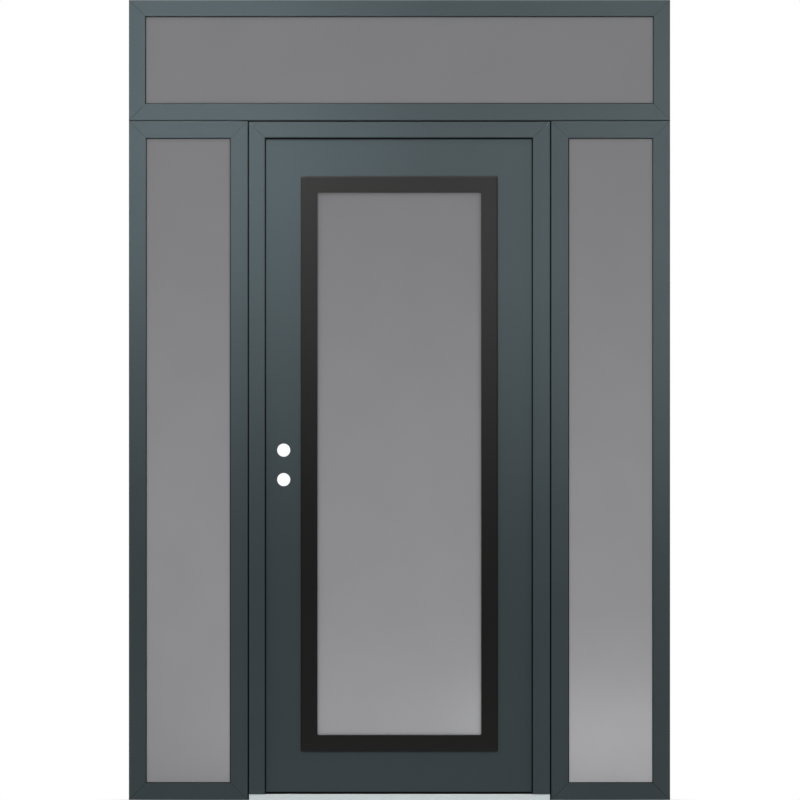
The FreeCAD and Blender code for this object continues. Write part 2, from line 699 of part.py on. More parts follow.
# Weatherstrip: a strip on the back of each stop, its bulb reaching past the stop's edge
SEAL_LEFT = f"({STOP_LEFT} - dims.seal_flange_width)"
SEAL_RIGHT = f"({STOP_RIGHT} + dims.seal_flange_width)"
SIDE_SEAL_TOP = f"({STOP_TOP} - dims.seal_reach - dims.seal_clearance)"
SIDE_SEAL_LENGTH = f"({SIDE_SEAL_TOP} - dims.sill_height)"
strike_seal = seal_strip(
    "strike_seal",
    (SEAL_LEFT, f"({STOP_LEFT} + {BULB_REACH})"),
    ("dims.sill_height", SIDE_SEAL_TOP),
    (f"({STOP_LEFT} + {BULB_REACH})", BULB_Y, "dims.sill_height"),
    SIDE_SEAL_LENGTH,
    ALONG_Z,
)
hinge_seal = seal_strip(
    "hinge_seal",
    (f"({STOP_RIGHT} - {BULB_REACH})", SEAL_RIGHT),
    ("dims.sill_height", SIDE_SEAL_TOP),
    (f"({STOP_RIGHT} - {BULB_REACH})", BULB_Y, "dims.sill_height"),
    SIDE_SEAL_LENGTH,
    ALONG_Z,
)
head_seal = seal_strip(
    "head_seal",
    (SEAL_LEFT, SEAL_RIGHT),
    (f"({STOP_TOP} - {BULB_REACH})", f"({STOP_TOP} + dims.seal_flange_width)"),
    (SEAL_LEFT, BULB_Y, f"({STOP_TOP} - {BULB_REACH})"),
    f"({SEAL_RIGHT} - {SEAL_LEFT})",
    ALONG_X,
)
keep(group("weatherstrip", [strike_seal, hinge_seal, head_seal]), "weatherstrip")

# Hinges: the frame holds the end and middle knuckles and the pin, the leaf holds the two between
frame_knuckles = range(0, KNUCKLES, 2)
door_knuckles = range(1, KNUCKLES, 2)
DOOR_PLATE_LEFT = f"({LEAF_RIGHT} - dims.plate_thickness)"
frame_halves = []
door_halves = []
hinge_pins = []
for place, level in HINGES.items():
    frame_halves.append(hinge_half(f"{place}_frame_half", level, REBATE_RIGHT, frame_knuckles))
    door_halves.append(hinge_half(f"{place}_door_half", level, DOOR_PLATE_LEFT, door_knuckles))
    hinge_pins.append(hinge_pin(f"{place}_pin", level))
keep(group("hinge_frame_leaves", frame_halves), "hinge_frame_leaves")
keep(group("hinge_door_leaves", door_halves), "hinge_door_leaves")
keep(group("hinge_pins", hinge_pins), "hinge_pins")

# Leaf: two folded skins over a core of stiles and rails
leaf_skin("door_outer_skin", f"({LEAF_OUTSIDE} + dims.skin_return)", ZERO, hinge_notches=False)
leaf_skin("door_inner_skin", LEAF_INSIDE, "dims.skin_thickness", hinge_notches=True)

CORE_LEFT = f"({LEAF_LEFT} + dims.skin_thickness)"
CORE_RIGHT = f"({LEAF_RIGHT} - dims.skin_thickness)"
CORE_BOTTOM = f"({LEAF_BOTTOM} + dims.skin_thickness)"
CORE_TOP = f"({LEAF_TOP} - dims.skin_thickness)"
CORE_DEPTH = (f"({LEAF_OUTSIDE} + dims.skin_thickness)", f"({LEAF_INSIDE} - dims.skin_thickness)")
BLOCK_BOTTOM = f"({LOWER_BORE} - dims.lock_block_margin)"
BLOCK_TOP = f"({UPPER_BORE} + dims.lock_block_margin)"

LOCK_SIDE = (CORE_LEFT, CUT_LEFT)
BETWEEN_STILES = (CUT_LEFT, CUT_RIGHT)
core_blocks = {
    "door_lock_stile_lower": (LOCK_SIDE, (CORE_BOTTOM, BLOCK_BOTTOM)),
    "door_lock_stile_upper": (LOCK_SIDE, (BLOCK_TOP, CORE_TOP)),
    "door_top_rail": (BETWEEN_STILES, (CUT_TOP, CORE_TOP)),
    "door_bottom_rail": (BETWEEN_STILES, (CORE_BOTTOM, CUT_BOTTOM)),
}
for block_label, (block_x, block_z) in core_blocks.items():
    keep(box(block_label, block_x, CORE_DEPTH, block_z), block_label)

hinge_stile = box("hinge_stile_blank", (CUT_RIGHT, CORE_RIGHT), CORE_DEPTH, (CORE_BOTTOM, CORE_TOP))
leaf_mortises = [
    box("leaf_mortise", (DOOR_PLATE_LEFT, LEAF_RIGHT), PLATE_DEPTH, (level, f"({level} + dims.hinge_height)"))
    for level in HINGES.values()
]
keep(cut("door_hinge_stile", hinge_stile, group("leaf_mortises", leaf_mortises)), "door_hinge_stile")

# Lock block: each lock bore runs right through the leaf and meets a latch bore from the leaf's edge
bores = []
for level in (LOWER_BORE, UPPER_BORE):
    bore_start = (BORE_X, LEAF_OUTSIDE, level)
    bores.append(rod("lock_bore", "dims.bore_diameter / 2", "dims.leaf_thickness", bore_start, ALONG_Y))
    latch_start = (LEAF_LEFT, LEAF_MIDDLE, level)
    bores.append(rod("latch_bore", "dims.latch_diameter / 2", "dims.backset", latch_start, ALONG_X))
lock_blank = box("lock_blank", LOCK_SIDE, CORE_DEPTH, (BLOCK_BOTTOM, BLOCK_TOP))
keep(cut("door_lock_block", lock_blank, fuse("lock_bores", bores)), "door_lock_block")

# Light in the leaf: a frame on each face clamps the sealed glass unit between its gaskets
light_frame("door_light_frame_outer", LEAF_OUTSIDE, inside=False)
light_frame("door_light_frame_inner", LEAF_INSIDE, inside=True)

glass_x = (f"({CUT_LEFT} + dims.glass_clearance)", f"({CUT_RIGHT} - dims.glass_clearance)")
glass_z = (f"({CUT_BOTTOM} + dims.glass_clearance)", f"({CUT_TOP} - dims.glass_clearance)")
keep(box("door_glass", glass_x, (LEAF_GLASS_FRONT, LEAF_GLASS_BACK), glass_z), "door_glass")

seat_inset = "(dims.cutout_cover - dims.gasket_width)"
seat_x = (f"({CUT_LEFT} + {seat_inset})", f"({CUT_RIGHT} - {seat_inset})")
seat_z = (f"({CUT_BOTTOM} + {seat_inset})", f"({CUT_TOP} - {seat_inset})")
front_seat = (f"({LEAF_GLASS_FRONT} - dims.gasket_thickness)", LEAF_GLASS_FRONT)
back_seat = (LEAF_GLASS_BACK, f"({LEAF_GLASS_BACK} + dims.gasket_thickness)")
door_gaskets = [
    ring("door_outer_gasket", seat_x, front_seat, seat_z, "dims.gasket_width"),
    ring("door_inner_gasket", seat_x, back_seat, seat_z, "dims.gasket_width"),
]
keep(group("door_gaskets", door_gaskets), "door_gaskets")

# Sweep: a rubber strip under the leaf with two fins that close the gap over the threshold
sweep_x = (f"({LEAF_LEFT} + dims.sweep_inset)", f"({LEAF_RIGHT} - dims.sweep_inset)")
SWEEP_FRONT, SWEEP_BACK = CORE_DEPTH
sweep_z = (f"({LEAF_BOTTOM} - dims.sweep_base)", LEAF_BOTTOM)
fin_z = (f"({LEAF_BOTTOM} - dims.sweep_drop)", LEAF_BOTTOM)
sweep_base = box("sweep_base", sweep_x, (SWEEP_FRONT, SWEEP_BACK), sweep_z)
front_fin = box("front_fin", sweep_x, (SWEEP_FRONT, f"({SWEEP_FRONT} + dims.fin_thickness)"), fin_z)
back_fin = box("back_fin", sweep_x, (f"({SWEEP_BACK} - dims.fin_thickness)", SWEEP_BACK), fin_z)
keep(fuse("door_sweep", [sweep_base, front_fin, back_fin]), "door_sweep")

doc.recompute()

# Check the document, then write one file for each piece
for item in doc.Objects:
    faults = {"Invalid", "Error"} & set(item.State)
    if faults:
        raise RuntimeError(f"{item.Label} failed: {', '.join(sorted(faults))}")
for piece in pieces:
    if piece.Shape.isNull() or not piece.Shape.isValid():
        raise RuntimeError(f"{piece.Label} has no valid shape")

os.makedirs("parts", exist_ok=True)
for piece in pieces:
    piece.Shape.exportStep(os.path.join("parts", f"{piece.Label}.step"))
print(f"wrote {len(pieces)} pieces")
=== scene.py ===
"""The looks of an entrance door with two sidelights and a transom light.

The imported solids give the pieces' sizes and places. This script eases the edges of the bars, moulds the seals
and the frame of the leaf's light anew, adds the screws and the seals in the mitres, gives each surface its
finish and sets a plain studio around the door.
"""

import logging
import math
from dataclasses import dataclass
from enum import Enum, IntEnum
from typing import Sequence

import bmesh
import bpy
from mathutils import Euler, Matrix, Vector


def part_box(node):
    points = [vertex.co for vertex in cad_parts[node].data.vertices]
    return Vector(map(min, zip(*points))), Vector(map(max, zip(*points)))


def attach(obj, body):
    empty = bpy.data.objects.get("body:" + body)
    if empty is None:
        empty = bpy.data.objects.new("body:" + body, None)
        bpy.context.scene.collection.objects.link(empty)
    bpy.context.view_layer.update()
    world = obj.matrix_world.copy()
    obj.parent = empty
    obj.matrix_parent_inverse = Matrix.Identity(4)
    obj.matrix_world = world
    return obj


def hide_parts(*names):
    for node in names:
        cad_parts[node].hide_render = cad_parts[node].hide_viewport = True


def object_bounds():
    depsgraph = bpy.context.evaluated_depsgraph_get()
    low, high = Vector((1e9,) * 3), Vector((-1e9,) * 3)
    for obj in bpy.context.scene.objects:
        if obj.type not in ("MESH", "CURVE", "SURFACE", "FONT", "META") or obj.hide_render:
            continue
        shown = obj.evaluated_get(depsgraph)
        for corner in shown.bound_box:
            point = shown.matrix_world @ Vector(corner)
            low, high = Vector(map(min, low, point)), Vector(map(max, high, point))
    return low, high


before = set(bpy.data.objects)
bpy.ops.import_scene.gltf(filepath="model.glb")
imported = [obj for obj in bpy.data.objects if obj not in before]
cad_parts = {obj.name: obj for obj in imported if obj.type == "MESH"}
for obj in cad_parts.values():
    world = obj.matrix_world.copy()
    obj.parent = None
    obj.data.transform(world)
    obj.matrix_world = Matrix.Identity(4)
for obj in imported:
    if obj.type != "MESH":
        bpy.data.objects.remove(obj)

CAD_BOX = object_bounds()
MM = 0.001
RIGHT_ANGLE = math.pi / 2

log = logging.getLogger("entrance_door")


class Body(Enum):
    """What moves together: the fixed frame, and the leaf that swings in it."""

    FRAME = "frame"
    DOOR = "door"


class Slot(Enum):
    """The record's material slots."""

    FRAME_PAINT = "frame_paint"
    LEAF_PAINT = "leaf_paint"
    BLACK_COATING = "black_coating"
    FROSTED_GLASS = "frosted_glass"
    BLACK_RUBBER = "black_rubber"
    SILL_ALUMINIUM = "sill_aluminium"
    HINGE_STEEL = "hinge_steel"
    CORE_COMPOSITE = "core_composite"


class Facing(Enum):
    """The way a screw head looks, as the turn of its own +Z axis."""

    RIGHT = Euler((0.0, RIGHT_ANGLE, 0.0))
    LEFT = Euler((0.0, -RIGHT_ANGLE, 0.0))
    INSIDE = Euler((-RIGHT_ANGLE, 0.0, 0.0))
    UP = Euler((0.0, 0.0, 0.0))


class Quarter(IntEnum):
    """A way in the section of the light's frame, in quarter turns from the way to the sight edge."""

    TO_LEAF = -1
    TO_SIGHT = 0
    TO_FRONT = 1
    TO_OUTLINE = 2


# Nodes


def pick_socket(sockets: Sequence[bpy.types.NodeSocket], key: str | int) -> bpy.types.NodeSocket:
    """Find a socket in use by its name or its place.

    Args:
        sockets: A node's inputs or outputs.
        key: The socket's name, or its number among them.

    Returns:
        The first socket in use that fits.
    """
    if isinstance(key, int):
        return sockets[key]
    return next(socket for socket in sockets if socket.name == key and socket.enabled)


def feed(tree: bpy.types.NodeTree, node: bpy.types.Node, inputs: dict[str | int, object]) -> None:
    """Set a node's inputs, or link other nodes to them.

    Args:
        tree: The node tree that holds the node.
        node: The node.
        inputs: For each input, by name or number, its value, an output to link, or a list of such outputs.
    """
    for key, given in inputs.items():
        socket = pick_socket(node.inputs, key)
        for one in given if isinstance(given, list) else [given]:
            if isinstance(one, bpy.types.NodeSocket):
                tree.links.new(one, socket)
            else:
                socket.default_value = one


def add_node(
    tree: bpy.types.NodeTree,
    kind: str,
    settings: dict[str, object] | None = None,
    inputs: dict[str | int, object] | None = None,
    output: str | int = 0,
) -> bpy.types.NodeSocket:
    """Add a node with its settings, its input values and its links.

    Args:
        tree: The node tree that the node goes into.
        kind: Blender's name for the kind of node.
        settings: Values of the node's own properties.
        inputs: What its inputs take, as in feed.
        output: The output to hand on, by name or number.

    Returns:
        The node's output socket, or the node's first input where it has no output.
    """
    node = tree.nodes.new(kind)
    for name, setting in (settings or {}).items():
        setattr(node, name, setting)
    feed(tree, node, inputs or {})
    return pick_socket(node.outputs, output) if node.outputs else node.inputs[0]


def linear(colour: str) -> tuple[float, float, float, float]:
    """Turn an sRGB colour to the linear values that shaders take, by the curve of the sRGB standard.

    Args:
        colour: The colour as #rrggbb.

    Returns:
        Red, green, blue and an alpha of one.
    """
    toe, toe_slope, offset, power = 0.04045, 12.92, 0.055, 2.4
    shares = [part / 255 for part in bytes.fromhex(colour[1:])]
    red, green, blue = (
        share / toe_slope if share <= toe else ((share + offset) / (1 + offset)) ** power for share in shares
    )
    return red, green, blue, 1.0


def per_metre(spacing: float) -> float:
    """Return a pattern's scale from its real spacing in millimetres."""
    return 1 / (spacing * MM)


# Finishes


@dataclass(frozen=True)
class Finish:
    """What every finish has: two colours, a gloss and a fine relief, which noises of a real size vary.

    Attributes:
        name: The material's common name and how its surface was made.
        slot: The record's slot; not used by this script.
        colour: Its main colour, as #rrggbb.
        shade: Its second colour, which a noise mixes in.
        roughness: How far its gloss is spread.
        gloss_change: How far a noise changes the roughness to each side.
        depth: The depth of its relief in millimetres.
        strength: The share of that depth that shows.
    """

    name: str
    slot: Slot
    colour: str
    shade: str
    roughness: float
    gloss_change: float
    depth: float
    strength: float

    def material(self) -> bpy.types.Material:
        """Return the finish's material, made when it is first asked for.

        Returns:
            The material, with its nodes in place.
        """
        made = bpy.data.materials.get(self.name)
        if made is None:
            made = bpy.data.materials.new(self.name)
            made.use_nodes = True
            tree = made.node_tree
            feed(tree, tree.nodes["Principled BSDF"], self.surface(tree))
        return made

    def surface(self, tree: bpy.types.NodeTree) -> dict[str, object]:
        """Add the nodes of this finish and return what the shader's inputs take."""
        raise NotImplementedError

    def grain(
        self, tree: bpy.types.NodeTree, spacing: tuple[float, float, float], detail: float = 2.0
    ) -> bpy.types.NodeSocket:
        """Add a noise of a real spacing along each axis.

        Args:
            tree: The material's nodes.
            spacing: Millimetres from one crest to the next, along X, Y and Z.
            detail: How many finer layers lie on the first.

        Returns:
            The noise, from 0 to 1.
        """
        place = add_node(tree, "ShaderNodeTexCoord", output="Object")
        scale = tuple(per_metre(step) for step in spacing)
        stretched = add_node(tree, "ShaderNodeMapping", inputs={"Vector": place, "Scale": scale})
        inputs = {"Vector": stretched, "Scale": 1.0, "Detail": detail}
        return add_node(tree, "ShaderNodeTexNoise", inputs=inputs)

    def patterned(
        self,
        tree: bpy.types.NodeTree,
        tone: bpy.types.NodeSocket,
        gloss: bpy.types.NodeSocket,
        relief: bpy.types.NodeSocket,
    ) -> dict[str, object]:
        """Let noises from 0 to 1 vary the colour, the roughness and the relief.

        Args:
            tree: The material's nodes.
            tone: The noise that mixes the two colours.
            gloss: The noise that changes the roughness.
            relief: The noise that raises the surface.

        Returns:
            What the shader's inputs for the colour, the roughness and the normal take.
        """
        # Nearly all of a noise lies in this range.
        noise_low, noise_high = 0.3, 0.7
        mixing, rough = (
            add_node(
                tree,
                "ShaderNodeMapRange",
                inputs={
                    "Value": noise,
                    "From Min": noise_low,
                    "From Max": noise_high,
                    "To Min": least,
                    "To Max": most,
                },
            )
            for noise, least, most in (
                (tone, 0.0, 1.0),
                (gloss, self.roughness - self.gloss_change, self.roughness + self.gloss_change),
            )
        )
        colours = {"Factor": mixing, "A": linear(self.colour), "B": linear(self.shade)}
        raised = {"Height": relief, "Distance": self.depth * MM, "Strength": self.strength}
        return {
            "Base Color": add_node(tree, "ShaderNodeMix", {"data_type": "RGBA"}, colours, "Result"),
            "Roughness": rough,
            "Normal": add_node(tree, "ShaderNodeBump", inputs=raised),
        }


@dataclass(frozen=True, kw_only=True)
class PowderCoat(Finish):
    """Powder baked on to metal: an even satin film, a little cloudy, with a faint orange peel.

    Attributes:
        specular: The strength of its gloss.
        index: The film's refractive index, that of a polyester resin.
        peel: Millimetres from crest to crest of the orange peel, about twice the real one so that it shows.
        cloud: Millimetres from one cloud to the next.
    """

    gloss_change: float = 0.04
    depth: float = 0.06
    strength: float = 0.35
    specular: float
    index: float = 1.5
    peel: float = 5.0
    cloud: float = 220.0

    def surface(self, tree: bpy.types.NodeTree) -> dict[str, object]:
        """Cloud the colour, and break the gloss up with the peel.

        Args:
            tree: The material's nodes.

        Returns:
            What the shader's inputs take.
        """
        clouds = self.grain(tree, (self.cloud,) * 3)
        peel = self.grain(tree, (self.peel,) * 3)
        plain = {"Specular IOR Level": self.specular, "IOR": self.index}
        return self.patterned(tree, clouds, peel, peel) | plain


@dataclass(frozen=True, kw_only=True)
class EtchedGlass(Finish):
    """Grey glass with acid-etched faces: it lets light through but no shapes, and has no mirror of its own.

    Attributes:
        index: Its refractive index, less than plain glass has because the etched faces mirror so little.
        etching: Millimetres from one dense patch of etching to the next.
        frost: Millimetres of the frost's grain, drawn ten times as coarse as the real one so that it shows.
    """

    gloss_change: float = 0.03
    depth: float = 0.02
    strength: float = 0.2
    index: float = 1.25
    etching: float = 160.0
    frost: float = 3.0

    def surface(self, tree: bpy.types.NodeTree) -> dict[str, object]:
        """Tint the glass, and roughen it with frost.

        Args:
            tree: The material's nodes.

        Returns:
            What the shader's inputs take.
        """
        patches = self.grain(tree, (self.etching,) * 3)
        frost = self.grain(tree, (self.frost,) * 3)
        plain = {"Transmission Weight": 1.0, "IOR": self.index}
        return self.patterned(tree, patches, frost, frost) | plain


@dataclass(frozen=True, kw_only=True)
class ExtrudedRubber(Finish):
    """Extruded sealing rubber: matt and dark, with a dull bloom in its second colour.

    Attributes:
        specular: The strength of its gloss.
        patch: Millimetres from one patch of bloom to the next.
        skin: Millimetres from crest to crest of the skin that the die leaves, drawn coarse so that it shows.
    """

    roughness: float = 0.74
    gloss_change: float = 0.06
    depth: float = 0.05
    strength: float = 0.3
    specular: float = 0.2
    patch: float = 30.0
    skin: float = 1.5

    def surface(self, tree: bpy.types.NodeTree) -> dict[str, object]:
        """Cloud the colour a little and keep the gloss broad.

        Args:
            tree: The material's nodes.

        Returns:
            What the shader's inputs take.
        """
        patches = self.grain(tree, (self.patch,) * 3)
        skin = self.grain(tree, (self.skin,) * 3)
        return self.patterned(tree, patches, patches, skin) | {"Specular IOR Level": self.specular}


@dataclass(frozen=True, kw_only=True)
class BrushedMetal(Finish):
    """Metal with fine lines along its length, left by the die or the belt, which draw its gloss out.

    Attributes:
        lines: Millimetres from line to line along X, Y and Z, long along the length of the piece and
            across it coarser than the real ones so that they show.
        line_detail: The layers of finer lines.
        bare: How bare the metal is: 1 where it mirrors, less where a matt oxide layer scatters the light. Where
            it is low, as on the sill, the near-white colour is painted reflection.
    """

    gloss_change: float = 0.08
    depth: float = 0.03
    strength: float = 0.3
    lines: tuple[float, float, float]
    line_detail: float = 4.0
    bare: float = 1.0

    def surface(self, tree: bpy.types.NodeTree) -> dict[str, object]:
        """Draw the lines into the colour, the gloss and the relief."""
        lines = self.grain(tree, self.lines, self.line_detail)
        return self.patterned(tree, lines, lines, lines) | {"Metallic": self.bare}


@dataclass(frozen=True, kw_only=True)
class PressedCore(Finish):
    """Pressed composite board with sawn edges: matt, with paler flakes in its second colour.

    Attributes:
        specular: The strength of its gloss.
        flakes: Millimetres from flake to flake along X, Y and Z.
        flake_detail: The layers of finer flakes.
    """

    roughness: float = 0.8
    gloss_change: float = 0.1
    depth: float = 0.2
    strength: float = 0.5
    specular: float = 0.2
    flakes: tuple[float, float, float] = (3.0, 3.0, 9.0)
    flake_detail: float = 5.0

    def surface(self, tree: bpy.types.NodeTree) -> dict[str, object]:
        """Scatter the flakes and roughen the sawn face."""
        flakes = self.grain(tree, self.flakes, self.flake_detail)
        return self.patterned(tree, flakes, flakes, flakes) | {"Specular IOR Level": self.specular}


ANTHRACITE = ("#424d51", "#404b4f")
FRAME_PAINT = PowderCoat(
    "anthracite powder coat on the frame", Slot.FRAME_PAINT, *ANTHRACITE, roughness=0.46, specular=0.3
)
LEAF_PAINT = PowderCoat(
    "anthracite powder coat on the leaf", Slot.LEAF_PAINT, *ANTHRACITE, roughness=0.44, specular=0.3
)
BLACK_COAT = PowderCoat(
    "satin black powder coat", Slot.BLACK_COATING, "#171615", "#151413", roughness=0.4, specular=0.75
)
GREY_GLASS = EtchedGlass("acid etched grey glass", Slot.FROSTED_GLASS, "#7a7a7c", "#78787a", roughness=0.6)
SEAL_RUBBER = ExtrudedRubber("extruded sealing rubber", Slot.BLACK_RUBBER, "#060708", "#0a0b0c")
GLAZING_RUBBER = ExtrudedRubber("grey glazing rubber", Slot.BLACK_RUBBER, "#25292b", "#2b2f31")
JOINT_RUBBER = ExtrudedRubber("dark grey joint rubber", Slot.BLACK_RUBBER, "#363c3f", "#3d4346")
# Partly the pale colour of anodised aluminium and partly painted reflection: the near-white colour on an almost
# non-metallic surface stands in for the bright sheen of the metal.
SILL_METAL = BrushedMetal(
    "matt anodised aluminium",
    Slot.SILL_ALUMINIUM,
    "#f1f9fb",
    "#eaf2f4",
    roughness=0.5,
    lines=(400.0, 1.6, 1.6),
    bare=0.04,
)
HINGE_METAL = BrushedMetal(
    "brushed stainless steel",
    Slot.HINGE_STEEL,
    "#b9b8b5",
    "#a3a2a0",
    roughness=0.3,
    lines=(1.2, 1.2, 60.0),
)
CORE_BOARD = PressedCore("pressed composite board", Slot.CORE_COMPOSITE, "#2a2b2c", "#3a3b3c")


# Pieces


def set_piece(piece: bpy.types.Object, finish: Finish, body: Body, nodes: Sequence[str]) -> bpy.types.Object:
    """Give a new piece its finish and its body, and let it stand for the solids that it covers.

    Args:
        piece: The finished piece.
        finish: Its finish.
        body: The body that it moves with.
        nodes: The solids that it stands for.

    Returns:
        The same piece.
    """
    if not piece.data.materials:
        piece.data.materials.append(finish.material())
    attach(piece, body.value)
    if nodes:
        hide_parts(*nodes)
    log.info("%s: %d faces", piece.name, len(piece.data.polygons))
    return piece


def coat_node(node: str, finish: Finish) -> None:
    """Give a solid that keeps its own shape its finish.

    Args:
        node: The solid's name.
        finish: Its finish.
    """
    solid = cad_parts[node]
    solid.data.materials.clear()
    solid.data.materials.append(finish.material())
    log.info("%s: coated", node)


def new_piece(name: str, form: bmesh.types.BMesh) -> bpy.types.Object:
    """Make an object of a finished form and take the form apart.

    Args:
        name: The piece's name.
        form: Its faces, in the door's own frame.

    Returns:
        The new object.
    """
    mesh = bpy.data.meshes.new(name)
    form.to_mesh(mesh)
    form.free()
    piece = bpy.data.objects.new(name, mesh)
    bpy.context.scene.collection.objects.link(piece)
    return piece


def lay_ring(
    form: bmesh.types.BMesh, box: tuple[Vector, Vector], inset: float, level: float, rounding: float
) -> list[bmesh.types.BMVert]:
    """Lay points round an upright rectangle with rounded corners.

    Args:
        form: The mesh that takes the points.
        box: The lowest and the highest corner of the box that the rectangle is drawn in from.
        inset: How far it is drawn in.
        level: Its place along Y.
        rounding: The rounding of its corners.

    Returns:
        The points in order.
    """
    low, high = box
    centre = (low + high) / 2
    half_width = (high.x - low.x) / 2 - inset - rounding
    half_height = (high.z - low.z) / 2 - inset - rounding
    corner_steps = 6
    points = []
    for quarter, (side, rise) in enumerate(((1, 1), (-1, 1), (-1, -1), (1, -1))):
        for number in range(corner_steps + 1):
            turn = RIGHT_ANGLE * (quarter + number / corner_steps)
            across = centre.x + side * half_width + rounding * math.cos(turn)
            up = centre.z + rise * half_height + rounding * math.sin(turn)
            points.append(form.verts.new((across, level, up)))
    return points


def close_rings(form: bmesh.types.BMesh, rings: list[list[bmesh.types.BMVert]]) -> None:
    """Join each ring to the next, and the last to the first.

    Args:
        form: The mesh that holds the rings.
        rings: The rings, all with as many points.
    """
    for ring, following in zip(rings, rings[1:] + rings[:1]):
        for number, corner in enumerate(ring):
            beside = (number + 1) % len(ring)
            form.faces.new((corner, ring[beside], following[beside], following[number]))


def moulded_piece(name: str, form: bmesh.types.BMesh) -> bpy.types.Object:
    """Make a piece of lofted rings, its rounded faces shaded smooth and its flat ones flat.

    Args:
        name: The piece's name.
        form: The lofted rings.

    Returns:
        The new object.
    """
    crease = math.radians(40.0)
    bmesh.ops.recalc_face_normals(form, faces=form.faces)
    for face in form.faces:
        face.smooth = True
    for edge in form.edges:
        edge.smooth = edge.calc_face_angle(0.0) < crease
    piece = new_piece(name, form)
    piece.modifiers.new("flat faces stay flat", "WEIGHTED_NORMAL").keep_sharp = True
    return piece


@dataclass(frozen=True)
class Easing:
    """How far the edges of a sawn or folded piece are rounded.

    Attributes:
        long_edge: The rounding of its long edges, in metres.
        cut_edge: The rounding of its short edges and of those of its mitred ends, in metres.
        steps: The flats in each rounding.
        weld: How near two corners of the triangles count as one, in metres.
        flat_angle: The turn below which two triangles lie in one flat.
        crease_angle: The turn from which an edge is sharp.
        short_length: The length below which an edge is a short one, in metres.
        mitre_lean: How far a face leans from upright and level alike where it is a mitred end.
        width_share: The rounding's largest share of the narrower flat beside it.
    """

    long_edge: float
    cut_edge: float
    steps: int = 3
    weld: float = 0.01 * MM
    flat_angle: float = math.radians(1.0)
    crease_angle: float = math.radians(35.0)
    short_length: float = 60 * MM
    mitre_lean: float = 0.3
    width_share: float = 0.25

    def apply(self, node: str) -> bpy.types.Object:
        """Copy a solid and round its outer edges.

        Args:
            node: The solid's name.

        Returns:
            The rounded copy, named after the solid.
        """
        form = bmesh.new()
        form.from_mesh(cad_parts[node].data)
        bmesh.ops.remove_doubles(form, verts=form.verts, dist=self.weld)
        weights = form.edges.layers.float.new("bevel_weight_edge")
        for face in form.faces:
            face.smooth = True
        flats = [(flat, self.outline(flat)) for flat in self.find_flats(form)]
        widths: dict[bmesh.types.BMEdge, float] = {}
        for flat, outline in flats:
            area = sum(face.calc_area() for face in flat)
            width = 2 * area / sum(edge.calc_length() for edge in outline)
            for edge in outline:
                widths[edge] = min(width, widths.get(edge, width))
        for edge, width in widths.items():
            edge[weights] = self.weight(edge, width)
            edge.smooth = edge[weights] > 0 or edge.calc_face_angle(0.0) < self.crease_angle
        for flat, outline in flats:
            if len(flat) > 1 and self.is_one_loop(outline):
                bmesh.ops.dissolve_faces(form, faces=flat, use_verts=True)
        piece = new_piece(f"{node}.eased", form)
        rounding = piece.modifiers.new("eased edges", "BEVEL")
        rounding.width = self.long_edge
        rounding.segments = self.steps
        rounding.limit_method = "WEIGHT"
        rounding.use_clamp_overlap = False
        piece.modifiers.new("flat faces stay flat", "WEIGHTED_NORMAL").keep_sharp = True
        return piece

    def find_flats(self, form: bmesh.types.BMesh) -> list[list[bmesh.types.BMFace]]:
        """Gather the triangles that lie in one plane side by side.

        Args:
            form: The welded solid.

        Returns:
            The triangles of each flat.
        """
        waiting = set(form.faces)
        flats = []
        for face in form.faces:
            if face not in waiting:
                continue
            waiting.discard(face)
            flat = [face]
            for member in flat:
                for edge in member.edges:
                    if edge.calc_face_angle(math.pi) < self.flat_angle:
                        fresh = [other for other in edge.link_faces if other in waiting]
                        waiting.difference_update(fresh)
                        flat += fresh
            flats.append(flat)
        return flats

    def outline(self, flat: list[bmesh.types.BMFace]) -> list[bmesh.types.BMEdge]:
        """Return the edges round a flat and round its holes."""
        inside = set(flat)
        return [edge for face in flat for edge in face.edges if not inside.issuperset(edge.link_faces)]

    def is_one_loop(self, outline: list[bmesh.types.BMEdge]) -> bool:
        """Tell whether a flat has no hole and doesn't touch itself.

        Args:
            outline: The edges round the flat, in any order.

        Returns:
            Whether a walk from the first edge meets them all and passes no corner twice.
        """
        corners = [corner for edge in outline for corner in edge.verts]
        if len(corners) != 2 * len(set(corners)):
            return False
        left = set(outline)
        walk = [left.pop()]
        for edge in walk:
            beside = left.intersection(other for corner in edge.verts for other in corner.link_edges)
            left -= beside
            walk += beside
        return not left

    def weight(self, edge: bmesh.types.BMEdge, width: float) -> float:
        """Find how far one edge is rounded.

        Args:
            edge: An edge of the welded solid.
            width: The width of the narrower flat beside it, in metres.

        Returns:
            The share of the long edges' rounding, or 0 for an edge that stays as it is.
        """
        if not edge.is_convex or edge.calc_face_angle(0.0) < self.crease_angle:
            return 0.0
        mitred = any(
            min(abs(face.normal.x), abs(face.normal.z)) > self.mitre_lean for face in edge.link_faces
        )
        cut = mitred or edge.calc_length() < self.short_length
        return min(self.cut_edge if cut else self.long_edge, self.width_share * width) / self.long_edge


BAR_EASING = Easing(0.8 * MM, 0.2 * MM)
GLASS_EASING = Easing(1.0 * MM, 0.5 * MM, steps=1)
SKIN_EASING = Easing(1.0 * MM, 0.25 * MM)
SILL_EASING = Easing(0.5 * MM, 0.3 * MM)
HINGE_EASING = Easing(0.5 * MM, 0.3 * MM, steps=2)


# Screws


